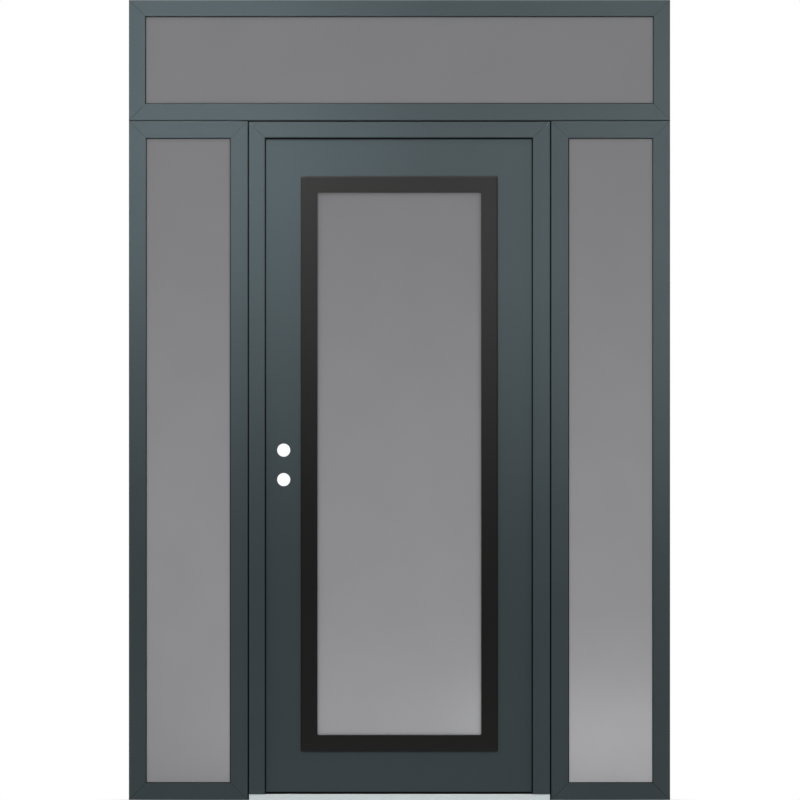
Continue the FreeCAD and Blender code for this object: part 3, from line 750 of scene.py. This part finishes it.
@dataclass
class ScrewRow:
    """Countersunk screws with a cross recess, set on one flat face.

    Attributes:
        name: The piece's name.
        points: Where the heads sit on the face.
        facing: The way they look.
        diameter: Across the head, in metres.
        rise: The head's crown above the face, in metres.
        seed: The start of the turns that the recesses are left at.
        sides: The flats round a head.
    """

    name: str
    points: list[Vector]
    facing: Facing
    diameter: float = 8.0 * MM
    rise: float = 0.5 * MM
    seed: int = 7
    sides: int = 20

    def build(self, finish: Finish, body: Body) -> bpy.types.Object:
        """Set a head at each point and turn the result to a plain mesh.

        Args:
            finish: The screws' finish.
            body: The body that they move with.

        Returns:
            The screws, as one piece.
        """
        form = bmesh.new()
        for point in self.points:
            form.verts.new(point)
        carrier = new_piece(f"{self.name}.places", form)
        tree, sockets = self.head_tree(finish.material())
        growth = carrier.modifiers.new("screw heads", "NODES")
        growth.node_group = tree
        for title, size in (("Diameter", self.diameter), ("Rise", self.rise), ("Seed", self.seed)):
            growth[sockets[title]] = size
        growth[sockets["Facing"]] = tuple(self.facing.value)
        grown = carrier.evaluated_get(bpy.context.evaluated_depsgraph_get())
        mesh = bpy.data.meshes.new_from_object(grown)
        mesh.name = self.name
        bpy.data.objects.remove(carrier)
        piece = bpy.data.objects.new(self.name, mesh)
        bpy.context.scene.collection.objects.link(piece)
        return set_piece(piece, finish, body, ())

    def head_tree(self, material: bpy.types.Material) -> tuple[bpy.types.NodeTree, dict[str, str]]:
        """Build the tree that puts a head at each point.

        Args:
            material: The heads' material.

        Returns:
            The tree, and the identifier of each of its named inputs.
        """
        tree = bpy.data.node_groups.new(f"{self.name} heads", "GeometryNodeTree")
        tree.interface.new_socket("Points", in_out="INPUT", socket_type="NodeSocketGeometry")
        kinds = {"Diameter": "Float", "Rise": "Float", "Seed": "Int", "Facing": "Rotation"}
        sockets = {}
        for title, kind in kinds.items():
            socket = tree.interface.new_socket(title, in_out="INPUT", socket_type=f"NodeSocket{kind}")
            sockets[title] = socket.identifier
        tree.interface.new_socket("Heads", in_out="OUTPUT", socket_type="NodeSocketGeometry")
        given = tree.nodes.new("NodeGroupInput").outputs
        head = self.one_head(tree, given)
        set_heads = add_node(
            tree,
            "GeometryNodeInstanceOnPoints",
            inputs={"Points": given["Points"], "Instance": head, "Rotation": given["Facing"]},
        )
        turn = add_node(
            tree,
            "FunctionNodeRandomValue",
            {"data_type": "FLOAT_VECTOR"},
            {"Min": (0.0, 0.0, 0.0), "Max": (0.0, 0.0, RIGHT_ANGLE), "Seed": given["Seed"]},
        )
        turned = add_node(
            tree,
            "GeometryNodeRotateInstances",
            inputs={"Instances": set_heads, "Rotation": turn, "Local Space": True},
        )
        real = add_node(tree, "GeometryNodeRealizeInstances", inputs={"Geometry": turned})
        coated = add_node(tree, "GeometryNodeSetMaterial", inputs={"Geometry": real, "Material": material})
        add_node(tree, "NodeGroupOutput", inputs={"Heads": coated})
        return tree, sockets

    def one_head(
        self, tree: bpy.types.NodeTree, given: Sequence[bpy.types.NodeSocket]
    ) -> bpy.types.NodeSocket:
        """Add the nodes of one head: a rim, a crown in two steps and the cross recess.

        Args:
            tree: The tree that the nodes go into.
            given: The tree's inputs.

        Returns:
            The head's mesh, which looks along its own +Z axis.
        """
        shares = {
            "rim radius": ("Diameter", 0.5),
            "rim top radius": ("Diameter", 0.48),
            "rim level": ("Rise", -0.5),
            "first step": ("Rise", 0.3),
            "second step": ("Rise", 0.2),
            "recess length": ("Diameter", 0.55),
            "recess width": ("Diameter", 0.11),
            "recess depth": ("Rise", 2.0),
            "recess level": ("Rise", 1.15),
        }
        sizes = {
            title: add_node(tree, "ShaderNodeMath", {"operation": "MULTIPLY"}, {0: given[of], 1: share})
            for title, (of, share) in shares.items()
        }
        rim = add_node(
            tree,
            "GeometryNodeMeshCone",
            inputs={
                "Vertices": self.sides,
                "Radius Top": sizes["rim top radius"],
                "Radius Bottom": sizes["rim radius"],
                "Depth": given["Rise"],
            },
        )
        level = add_node(tree, "ShaderNodeCombineXYZ", inputs={"Z": sizes["rim level"]})
        crown = add_node(tree, "GeometryNodeTransform", inputs={"Geometry": rim, "Translation": level})
        top = pick_socket(rim.node.outputs, "Top")
        for step, narrowing in (("first step", 0.8), ("second step", 0.55)):
            raised = {"Mesh": crown, "Selection": top, "Offset Scale": sizes[step]}
            crown = add_node(tree, "GeometryNodeExtrudeMesh", inputs=raised)
            top = pick_socket(crown.node.outputs, "Top")
            narrowed = {"Geometry": crown, "Selection": top, "Scale": narrowing}
            crown = add_node(tree, "GeometryNodeScaleElements", inputs=narrowed)
        arms = []
        for along_x, along_y in (("recess length", "recess width"), ("recess width", "recess length")):
            extent = {"X": sizes[along_x], "Y": sizes[along_y], "Z": sizes["recess depth"]}
            size = add_node(tree, "ShaderNodeCombineXYZ", inputs=extent)
            arm = add_node(tree, "GeometryNodeMeshCube", inputs={"Size": size})
            level = add_node(tree, "ShaderNodeCombineXYZ", inputs={"Z": sizes["recess level"]})
            lifted = {"Geometry": arm, "Translation": level}
            arms.append(add_node(tree, "GeometryNodeTransform", inputs=lifted))
        cut = {"Mesh 1": crown, "Mesh 2": arms}
        return add_node(tree, "GeometryNodeMeshBoolean", {"operation": "DIFFERENCE"}, cut)


# The fixed lights


@dataclass
class MitreSeal:
    """The dark sealing strips in a frame's mitred joints, which show as fine lines on its face.

    Attributes:
        name: The piece's name.
        joints: The outer and the inner end of each joint on the frame's face.
        depth: How far back from the face the strips reach, in metres.
        thickness: The width of the joints.
        setback: From the face to the strips' crowned edge.
    """

    name: str
    joints: list[tuple[Vector, Vector]]
    depth: float
    thickness: float = 0.8 * MM
    setback: float = 2 * MM

    def build(self) -> bpy.types.Object:
        """Set a strip with a crowned edge in each joint.

        Returns:
            The strips, as one piece.
        """
        half = self.thickness / 2
        shoulder = self.setback + half
        section = (
            (0.0, self.setback),
            (half, shoulder),
            (half, self.depth),
            (-half, self.depth),
            (-half, shoulder),
        )
        inward = Vector((0.0, 1.0, 0.0))
        form = bmesh.new()
        for joint in self.joints:
            across = (joint[1] - joint[0]).normalized().cross(inward)
            start, end = (
                [form.verts.new(point + across * aside + inward * level) for aside, level in section]
                for point in joint
            )
            for number, corner in enumerate(start):
                form.faces.new((start[number - 1], corner, end[number], end[number - 1]))
            form.faces.new(start)
            form.faces.new(end)
        bmesh.ops.recalc_face_normals(form, faces=form.faces)
        return set_piece(new_piece(self.name, form), SEAL_RUBBER, Body.FRAME, ())


@dataclass
class GlazingSeal:
    """The two rubber seals of a fixed glass unit, each with a rounded lip that shows beside the glass.

    Attributes:
        node: The solids that they stand for.
        width: From a seal's outer edge to its lip, in metres.
        thickness: Its thickness between the glass and what holds it.
        lip: The rounding of its lip.
        corner: The rounding of its corners, small because the seal is cut to a mitre there.
        lip_steps: The flats in the lip's rounding.
    """

    node: str
    width: float = 13.5 * MM
    thickness: float = 3 * MM
    lip: float = 2.2 * MM
    corner: float = 0.5 * MM
    lip_steps: int = 4

    def build(self) -> bpy.types.Object:
        """Loft both seals round the glass.

        Returns:
            The seals, as one piece.
        """
        low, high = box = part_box(self.node)
        form = bmesh.new()
        for face, outward in ((low.y, -1), (high.y, 1)):
            glass = face - outward * self.thickness
            section = [(0.0, glass), (0.0, face)]
            for number in range(self.lip_steps + 1):
                turn = RIGHT_ANGLE * (1 - number / self.lip_steps)
                inset = self.width - self.lip + self.lip * math.cos(turn)
                section.append((inset, face - outward * self.lip * (1 - math.sin(turn))))
            section.append((self.width, glass))
            close_rings(form, [lay_ring(form, box, inset, level, self.corner) for inset, level in section])
        piece = moulded_piece(f"{self.node}.moulded", form)
        return set_piece(piece, GLAZING_RUBBER, Body.FRAME, (self.node,))


@dataclass
class FixedLight:
    """A fixed light: four mitred bars, a glass unit on gaskets, and beads that hold it from inside.

    Attributes:
        name: The light's name, which its solids start with.
        bars: The names of its four bars.
        seal_depth: How far the seals in the mitres reach back from the face, in metres.
    """

    name: str
    bars: tuple[str, ...]
    seal_depth: float = 11 * MM

    def build(self) -> None:
        """Ease the bars and the beads, and glaze the light."""
        for bar in (*self.bars, "beads"):
            node = f"{self.name}_{bar}"
            set_piece(BAR_EASING.apply(node), FRAME_PAINT, Body.FRAME, (node,))
        glass = f"{self.name}_glass"
        set_piece(GLASS_EASING.apply(glass), GREY_GLASS, Body.FRAME, (glass,))
        GlazingSeal(f"{self.name}_gaskets").build()
        self.seal_mitres()

    def seal_mitres(self) -> None:
        """Seal the four corners, from the outline in to the sight edge."""
        top, bottom, *stiles = (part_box(f"{self.name}_{bar}") for bar in self.bars)
        left, right = sorted(stiles, key=lambda stile: stile[0].x)
        front = top[0].y
        joints = [
            (Vector((across[0], front, up[0])), Vector((across[1], front, up[1])))
            for across in ((left[0].x, left[1].x), (right[1].x, right[0].x))
            for up in ((top[1].z, top[0].z), (bottom[0].z, bottom[1].z))
        ]
        MitreSeal(f"{self.name}_mitre_seals", joints, self.seal_depth).build()


# The door's own frame


@dataclass
class DoorFrame:
    """The jambs round the leaf, the threshold, the seal on the stops and the strips in the joints.

    Attributes:
        jambs: The names of the jambs.
        strips: The names of the strips in the upright joints between the units.
        sill_screws: How many screws hold the threshold.
        screw_margin: From the threshold's end to its first screw, in metres.
        screw_setback: From its inner edge to the row of screws, in metres.
        seal_depth: How far the seals in the mitres reach back from the face, in metres.
    """

    jambs: tuple[str, ...] = ("door_head_jamb", "door_strike_jamb", "door_hinge_jamb")
    strips: tuple[str, ...] = ("joint_strip_left", "joint_strip_right")
    sill_screws: int = 5
    screw_margin: float = 90 * MM
    screw_setback: float = 22 * MM
    seal_depth: float = 6 * MM

    def build(self) -> None:
        """Ease the jambs, and finish the threshold, the seal and the strips."""
        for jamb in self.jambs:
            set_piece(BAR_EASING.apply(jamb), FRAME_PAINT, Body.FRAME, (jamb,))
        set_piece(SILL_EASING.apply("threshold"), SILL_METAL, Body.FRAME, ("threshold",))
        for strip in self.strips:
            coat_node(strip, SEAL_RUBBER)
        coat_node("joint_strip_head", JOINT_RUBBER)
        coat_node("weatherstrip", SEAL_RUBBER)
        self.seal_mitres()
        self.screw_down()

    def seal_mitres(self) -> None:
        """Seal the two upper corners, from the outline in to the doorway."""
        head, strike, hinge = (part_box(jamb) for jamb in self.jambs)
        front = head[0].y
        joints = [
            (Vector((head[0].x, front, head[1].z)), Vector((strike[1].x, front, head[0].z))),
            (Vector((head[1].x, front, head[1].z)), Vector((hinge[0].x, front, head[0].z))),
        ]
        MitreSeal("door_frame_mitre_seals", joints, self.seal_depth).build()

    def screw_down(self) -> None:
        """Set a row of screws along the threshold."""
        low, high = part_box("threshold")
        first = low.x + self.screw_margin
        pitch = (high.x - low.x - 2 * self.screw_margin) / (self.sill_screws - 1)
        places = [
            Vector((first + number * pitch, high.y - self.screw_setback, high.z))
            for number in range(self.sill_screws)
        ]
        ScrewRow("threshold_screws", places, Facing.UP).build(SILL_METAL, Body.FRAME)


# The leaf


@dataclass
class LightFrame:
    """The moulded frame of the leaf's light on one face of the leaf.

    Its section has a thin flange on the leaf, a raised band with rounded shoulders and a leg to the glass.

    Attributes:
        node: The solid that it stands for.
        outward: The way it looks along Y, -1 for the outer one and 1 for the inner one.
        leg_depth: The leg's reach into the leaf, in metres.
        band: From its outer edge to the sight edge.
        flange_width: The flange's width.
        flange_height: The flange's height over the leaf.
        leg_width: The thickness of the leg.
        outer_corner: The rounding of its outline's corners.
        sight_corner: The rounding of the opening's corners.
        shoulder: The rounding of the band's outer shoulder.
        sight_edge: The rounding of the band's edge at the glass.
        flange_edge: The rounding of the flange's edge.
        root: The rounding where the band rises from the flange.
        arc_steps: The flats in each rounding.
    """

    node: str
    outward: int
    leg_depth: float
    band: float = 52 * MM
    flange_width: float = 3 * MM
    flange_height: float = 2 * MM
    leg_width: float = 17 * MM
    outer_corner: float = 4 * MM
    sight_corner: float = 5 * MM
    shoulder: float = 0.7 * MM
    sight_edge: float = 0.9 * MM
    flange_edge: float = 0.4 * MM
    root: float = 0.3 * MM
    arc_steps: int = 4

    def build(self) -> bpy.types.Object:
        """Loft the section round the light.

        Returns:
            The moulded frame.
        """
        low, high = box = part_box(self.node)
        foot = low.y + self.leg_depth if self.outward > 0 else high.y - self.leg_depth
        form = bmesh.new()
        close_rings(
            form,
            [
                lay_ring(form, box, inset, foot + self.outward * level, rounding)
                for inset, level, rounding in self.section()
            ],
        )
        piece = moulded_piece(f"{self.node}.moulded", form)
        return set_piece(piece, BLACK_COAT, Body.DOOR, (self.node,))

    def section(self) -> list[tuple[float, float, float]]:
        """Work out the section from the outer foot over the band to the leg.

        Returns:
            For each point the inset from the outline, the height over the leaf and the corner's rounding.
        """
        low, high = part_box(self.node)
        height = (high.y - low.y) - self.leg_depth
        flange, step = self.flange_height, self.flange_width
        edge, root, shoulder, sight = self.flange_edge, self.root, self.shoulder, self.sight_edge
        flange_edge = self.arc(edge, flange - edge, edge, Quarter.TO_OUTLINE, Quarter.TO_FRONT)
        band_root = self.arc(step - root, flange + root, root, Quarter.TO_LEAF, Quarter.TO_SIGHT)
        band_edge = self.arc(
            step + shoulder, height - shoulder, shoulder, Quarter.TO_OUTLINE, Quarter.TO_FRONT
        )
        sight_edge = self.arc(self.band - sight, height - sight, sight, Quarter.TO_FRONT, Quarter.TO_SIGHT)
        leg = self.band - self.leg_width
        points = [(0.0, 0.0, self.outer_corner)]
        points += [(inset, level, self.outer_corner - inset) for inset, level in flange_edge + band_root]
        points += [(inset, level, self.outer_corner + step - inset) for inset, level in band_edge]
        points += [(inset, level, self.sight_corner + self.band - inset) for inset, level in sight_edge]
        points += [
            (self.band, -self.leg_depth, self.sight_corner),
            (leg, -self.leg_depth, self.sight_corner),
            (leg, 0.0, self.sight_corner),
        ]
        return points

    def arc(
        self, inset: float, level: float, radius: float, start: Quarter, end: Quarter
    ) -> list[tuple[float, float]]:
        """Draw a quarter round in the section.

        Args:
            inset: The inset of its centre.
            level: The height of its centre over the leaf.
            radius: Its radius.
            start: The way from its centre to its first point.
            end: The way from its centre to its last point.

        Returns:
            For each of its points the inset and the height over the leaf.
        """
        points = []
        for number in range(self.arc_steps + 1):
            turn = RIGHT_ANGLE * (start + (end - start) * number / self.arc_steps)
            points.append((inset + radius * math.cos(turn), level + radius * math.sin(turn)))
        return points


@dataclass
class DoorLeaf:
    """The swinging leaf: two folded skins over a core, a light in its moulded frames, and a sweep.

    Attributes:
        skins: The names of the sheet skins.
        core: The names of the pieces between them.
        side_screws: How many screws hold each long side of the inner light frame.
        end_screws: How many hold each short side.
        screw_inset: From the inner frame's outline to its screws, in metres.
        screw_size: Across the head of one of them, in metres.
        outer_leg: The reach of the outer light frame's leg into the leaf, in metres.
        inner_leg: The reach of the inner one's, longer because the glass lies near the outer face.
    """

    skins: tuple[str, ...] = ("door_outer_skin", "door_inner_skin")
    core: tuple[str, ...] = (
        "door_lock_stile_lower",
        "door_lock_stile_upper",
        "door_lock_block",
        "door_hinge_stile",
        "door_top_rail",
        "door_bottom_rail",
    )
    side_screws: int = 6
    end_screws: int = 3
    screw_inset: float = 30 * MM
    screw_size: float = 7 * MM
    outer_leg: float = 3 * MM
    inner_leg: float = 29 * MM

    def build(self) -> None:
        """Ease the skins, mould the light's frames and finish the rest."""
        for skin in self.skins:
            set_piece(SKIN_EASING.apply(skin), LEAF_PAINT, Body.DOOR, (skin,))
        for board in self.core:
            coat_node(board, CORE_BOARD)
        set_piece(GLASS_EASING.apply("door_glass"), GREY_GLASS, Body.DOOR, ("door_glass",))
        for seal in ("door_gaskets", "door_sweep"):
            coat_node(seal, SEAL_RUBBER)
        LightFrame("door_light_frame_outer", -1, self.outer_leg).build()
        LightFrame("door_light_frame_inner", 1, self.inner_leg).build()
        self.screw_light()

    def screw_light(self) -> None:
        """Set screws round the inner frame of the light, each in the middle of its share of a side."""
        low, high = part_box("door_light_frame_inner")
        left, right = low.x + self.screw_inset, high.x - self.screw_inset
        bottom, top = low.z + self.screw_inset, high.z - self.screw_inset
        places = []
        for number in range(self.side_screws):
            level = bottom + (top - bottom) * (number + 0.5) / self.side_screws
            places += [Vector((left, high.y, level)), Vector((right, high.y, level))]
        for number in range(self.end_screws):
            across = left + (right - left) * (number + 0.5) / self.end_screws
            places += [Vector((across, high.y, bottom)), Vector((across, high.y, top))]
        screws = ScrewRow("inner_light_frame_screws", places, Facing.INSIDE, self.screw_size)
        screws.build(BLACK_COAT, Body.DOOR)


# The hinges


@dataclass
class HingeSet:
    """Three butt hinges with screwed plates.

    Attributes:
        height: The height of one hinge, in metres.
        rows: The screws in each plate.
        row_margin: From a plate's end to its first screw, in metres.
        stagger: How far the screws stand off the plate's middle line, in metres.
        plate_width: The plate's width across the door.
        plate_gap: Between the plates of the closed door.
    """

    height: float = 100 * MM
    rows: int = 4
    row_margin: float = 13 * MM
    stagger: float = 7 * MM
    plate_width: float = 32 * MM
    plate_gap: float = 5 * MM

    def build(self) -> None:
        """Ease the plates and pins, and screw the plates on."""
        for node, body in (
            ("hinge_frame_leaves", Body.FRAME),
            ("hinge_door_leaves", Body.DOOR),
            ("hinge_pins", Body.FRAME),
        ):
            set_piece(HINGE_EASING.apply(node), HINGE_METAL, body, (node,))
        door_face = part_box("door_outer_skin")[1].x
        frame_face = door_face + self.plate_gap
        ScrewRow("hinge_door_screws", self.places(door_face), Facing.RIGHT).build(HINGE_METAL, Body.DOOR)
        ScrewRow("hinge_frame_screws", self.places(frame_face), Facing.LEFT).build(HINGE_METAL, Body.FRAME)

    def places(self, face: float) -> list[Vector]:
        """Work out where the screws sit on the plates of one side.

        Args:
            face: The place of the plates' shown face along X.

        Returns:
            The screws' places.
        """
        low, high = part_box("hinge_door_leaves")
        middle = low.y + self.plate_width / 2
        pitch = (self.height - 2 * self.row_margin) / (self.rows - 1)
        starts = (low.z, (low.z + high.z - self.height) / 2, high.z - self.height)
        return [
            Vector((face, middle + self.stagger * (-1) ** row, start + self.row_margin + row * pitch))
            for start in starts
            for row in range(self.rows)
        ]


# The studio


@dataclass(frozen=True)
class Softbox:
    """A rectangular lamp that lights but doesn't show.

    Attributes:
        name: The lamp's name.
        place: Where it hangs, in metres.
        aim: The point that it is turned to.
        size: Its width and height.
        power: Its power in watts.
        spread: The angle that its grid lets out, in degrees.
        through_glass: Whether it shows through the glass.
    """

    name: str
    place: tuple[float, float, float]
    aim: tuple[float, float, float]
    size: tuple[float, float]
    power: float
    spread: float = 150.0
    through_glass: bool = True

    def hang(self) -> None:
        """Hang the lamp and turn it to its aim."""
        lamp = bpy.data.lights.new(self.name, "AREA")
        lamp.shape = "RECTANGLE"
        lamp.size, lamp.size_y = self.size
        lamp.energy = self.power
        lamp.spread = math.radians(self.spread)
        holder = bpy.data.objects.new(self.name, lamp)
        holder.location = self.place
        holder.rotation_euler = (Vector(self.aim) - Vector(self.place)).to_track_quat("-Z", "Y").to_euler()
        holder.visible_camera = False
        holder.visible_transmission = self.through_glass
        bpy.context.scene.collection.objects.link(holder)


@dataclass
class Studio:
    """A plain white studio with a pale floor, soft lamps and a camera straight in front.

    Attributes:
        lamps: The lamps.
        ambient: The level of the light from all round.
        dim_front: The level of the room in front of the door, as gloss shows it.
        dim_end: How far to the back that room turns white, as a ray's slope or as metres on the floor.
        white: The background's colour, as #rrggbb.
        floor_colour: The floor's colour, as #rrggbb.
        floor_roughness: How far the floor's gloss is spread.
        floor_specular: The strength of its gloss.
        floor_reach: The floor's radius, in metres.
        floor_sides: The flats round its edge.
        fade_start: How far from the door the floor begins to turn white, in metres to either side.
        fade_end: How far from the door it is white, in metres to either side.
        fade_depth: How many times sooner that comes to the front and the back than to the sides.
        lens: The camera's focal length in millimetres, long because the door is seen without perspective.
        picture_height: The height that fills the picture, in metres.
        aim_x: How far the picture's middle lies from the door's, in metres.
    """

    lamps: tuple[Softbox, ...] = (
        Softbox("left", (-0.85, -2.21, 3.73), (-0.61, 0.0, 2.06), (1.24, 1.24), power=6.45, spread=28.0),
        Softbox("right", (0.4, -2.92, 3.55), (1.015, 0.0, 1.84), (1.5, 1.5), power=5.6, spread=24.0),
        Softbox("foot", (0.0, -2.2, 2.6), (0.0, 0.0, 0.0), (3.0, 0.3), power=0.85, spread=20.0),
        Softbox("far back", (0.6, 4.5, 0.7), (0.6, 0.0, 0.7), (6.0, 1.4), power=9.0),
        Softbox("low back", (1.1, 2.2, 0.15), (1.1, 0.0, 0.15), (3.4, 0.3), power=1.9),
        Softbox("near back", (1.2, 1.2, 0.15), (1.2, 0.0, 0.15), (2.0, 0.3), power=0.72),
        Softbox("rear", (-0.8, 2.6, 3.2), (0.0, 0.0, 1.3), (2.0, 1.5), power=12.0, through_glass=False),
    )
    ambient: float = 0.64
    dim_front: float = 0.1
    dim_end: float = 0.7
    white: str = "#ffffff"
    floor_colour: str = "#f4f4f2"
    floor_roughness: float = 0.8
    floor_specular: float = 0.1
    floor_reach: float = 6.0
    floor_sides: int = 96
    fade_start: float = 0.55
    fade_end: float = 1.0
    fade_depth: float = 1.4
    lens: float = 1200.0
    picture_height: float = 2.4996
    aim_x: float = 1.6 * MM

    def build(self) -> None:
        """Set up the floor, the background, the lamps and the camera."""
        scene = bpy.context.scene
        scene.view_settings.view_transform = "Standard"
        self.light_background(scene)
        self.lay_floor()
        for lamp in self.lamps:
            lamp.hang()
        self.set_camera(scene)

    def seen_plainly(self, tree: bpy.types.NodeTree) -> bpy.types.NodeSocket:
        """Tell the rays that see the white studio from those that only carry its light.

        Args:
            tree: The nodes of the background or of the floor.

        Returns:
            One for a ray from the camera, or off metal or through glass, and otherwise zero.
        """
        path = add_node(tree, "ShaderNodeLightPath").node.outputs
        seen = path["Is Camera Ray"]
        for kind in ("Is Glossy Ray", "Is Transmission Ray"):
            seen = add_node(tree, "ShaderNodeMath", {"operation": "MAXIMUM"}, {0: seen, 1: path[kind]})
        return seen

    def glossy_level(self, tree: bpy.types.NodeTree, place: str) -> bpy.types.NodeSocket:
        """Let gloss see the white behind the door, and a dim room in front of it.

        Args:
            tree: The nodes of the background or of the floor.
            place: The coordinates whose Y tells front from back: Generated for the way that a ray goes into
                the background, Object for the place that it meets the floor.

        Returns:
            The level that a ray off a glossy surface meets.
        """
        where = add_node(tree, "ShaderNodeTexCoord", output=place)
        inward = add_node(tree, "ShaderNodeSeparateXYZ", inputs={"Vector": where}, output="Y")
        span = {"From Min": 0.0, "From Max": self.dim_end, "To Min": self.dim_front, "To Max": 1.0}
        softly = {"interpolation_type": "SMOOTHSTEP"}
        return add_node(tree, "ShaderNodeMapRange", softly, {"Value": inward} | span)

    def light_background(self, scene: bpy.types.Scene) -> None:
        """Make the white background and the even light that comes from it.

        Args:
            scene: The scene that gets the background.
        """
        world = bpy.data.worlds.new("white studio")
        world.use_nodes = True
        tree = world.node_tree
        tree.nodes.clear()
        path = add_node(tree, "ShaderNodeLightPath").node.outputs
        full = 1.0
        level = self.ambient
        for kind, shown in (
            ("Is Glossy Ray", self.glossy_level(tree, "Generated")),
            ("Is Transmission Ray", full),
            ("Is Camera Ray", full),
        ):
            level = add_node(tree, "ShaderNodeMix", inputs={"Factor": path[kind], "A": level, "B": shown})
        inputs = {"Color": linear(self.white), "Strength": level}
        studio = add_node(tree, "ShaderNodeBackground", inputs=inputs)
        add_node(tree, "ShaderNodeOutputWorld", inputs={"Surface": studio})
        scene.world = world

    def lay_floor(self) -> None:
        """Lay a pale floor that keeps the door's shadow and runs out into the white background."""
        form = bmesh.new()
        bmesh.ops.create_circle(form, cap_ends=True, radius=self.floor_reach, segments=self.floor_sides)
        floor = new_piece("floor", form)
        material = bpy.data.materials.new("pale studio floor")
        material.use_nodes = True
        tree = material.node_tree
        shader = tree.nodes["Principled BSDF"]
        plain = {
            "Base Color": linear(self.floor_colour),
            "Roughness": self.floor_roughness,
            "Specular IOR Level": self.floor_specular,
        }
        feed(tree, shader, plain)
        place = add_node(tree, "ShaderNodeTexCoord", output="Object")
        squeeze = (1.0, self.fade_depth, 1.0)
        squeezed = add_node(tree, "ShaderNodeMapping", inputs={"Vector": place, "Scale": squeeze})
        far = add_node(tree, "ShaderNodeVectorMath", {"operation": "LENGTH"}, {0: squeezed}, "Value")
        fade = add_node(
            tree,
            "ShaderNodeMapRange",
            {"interpolation_type": "SMOOTHSTEP"},
            {"Value": far, "From Min": self.fade_start, "From Max": self.fade_end},
        )
        seen = self.seen_plainly(tree)
        share = add_node(tree, "ShaderNodeMath", {"operation": "MULTIPLY"}, {0: fade, 1: seen})
        path = add_node(tree, "ShaderNodeLightPath").node.outputs
        level = add_node(
            tree,
            "ShaderNodeMix",
            inputs={"Factor": path["Is Glossy Ray"], "A": 1.0, "B": self.glossy_level(tree, "Object")},
        )
        inputs = {"Color": linear(self.white), "Strength": level}
        white = add_node(tree, "ShaderNodeEmission", inputs=inputs)
        both = add_node(tree, "ShaderNodeMixShader", inputs={0: share, 1: shader.outputs[0], 2: white})
        feed(tree, tree.nodes["Material Output"], {"Surface": both})
        floor.data.materials.append(material)

    def set_camera(self, scene: bpy.types.Scene) -> None:
        """Put the camera straight in front, where the door fills the picture's height.

        Args:
            scene: The scene that it is the camera of.
        """
        view = bpy.data.cameras.new("front view")
        view.lens = self.lens
        distance = self.picture_height * self.lens / view.sensor_width
        view.clip_end = 2 * distance
        camera = bpy.data.objects.new("front view", view)
        camera.location = (self.aim_x, CAD_BOX[0].y - distance, self.picture_height / 2)
        camera.rotation_euler = (RIGHT_ANGLE, 0.0, 0.0)
        scene.collection.objects.link(camera)
        scene.camera = camera


def main() -> None:
    """Build the door's sub-assemblies in order, and then the studio."""
    logging.basicConfig(level=logging.INFO, format="%(message)s")
    sidelight_bars = ("top_rail", "bottom_rail", "inner_stile", "outer_stile")
    FixedLight("transom", ("top_rail", "bottom_rail", "left_stile", "right_stile")).build()
    for side in ("left", "right"):
        FixedLight(f"{side}_sidelight", sidelight_bars).build()
    DoorFrame().build()
    DoorLeaf().build()
    HingeSet().build()
    Studio().build()


if __name__ == "__main__":
    main()
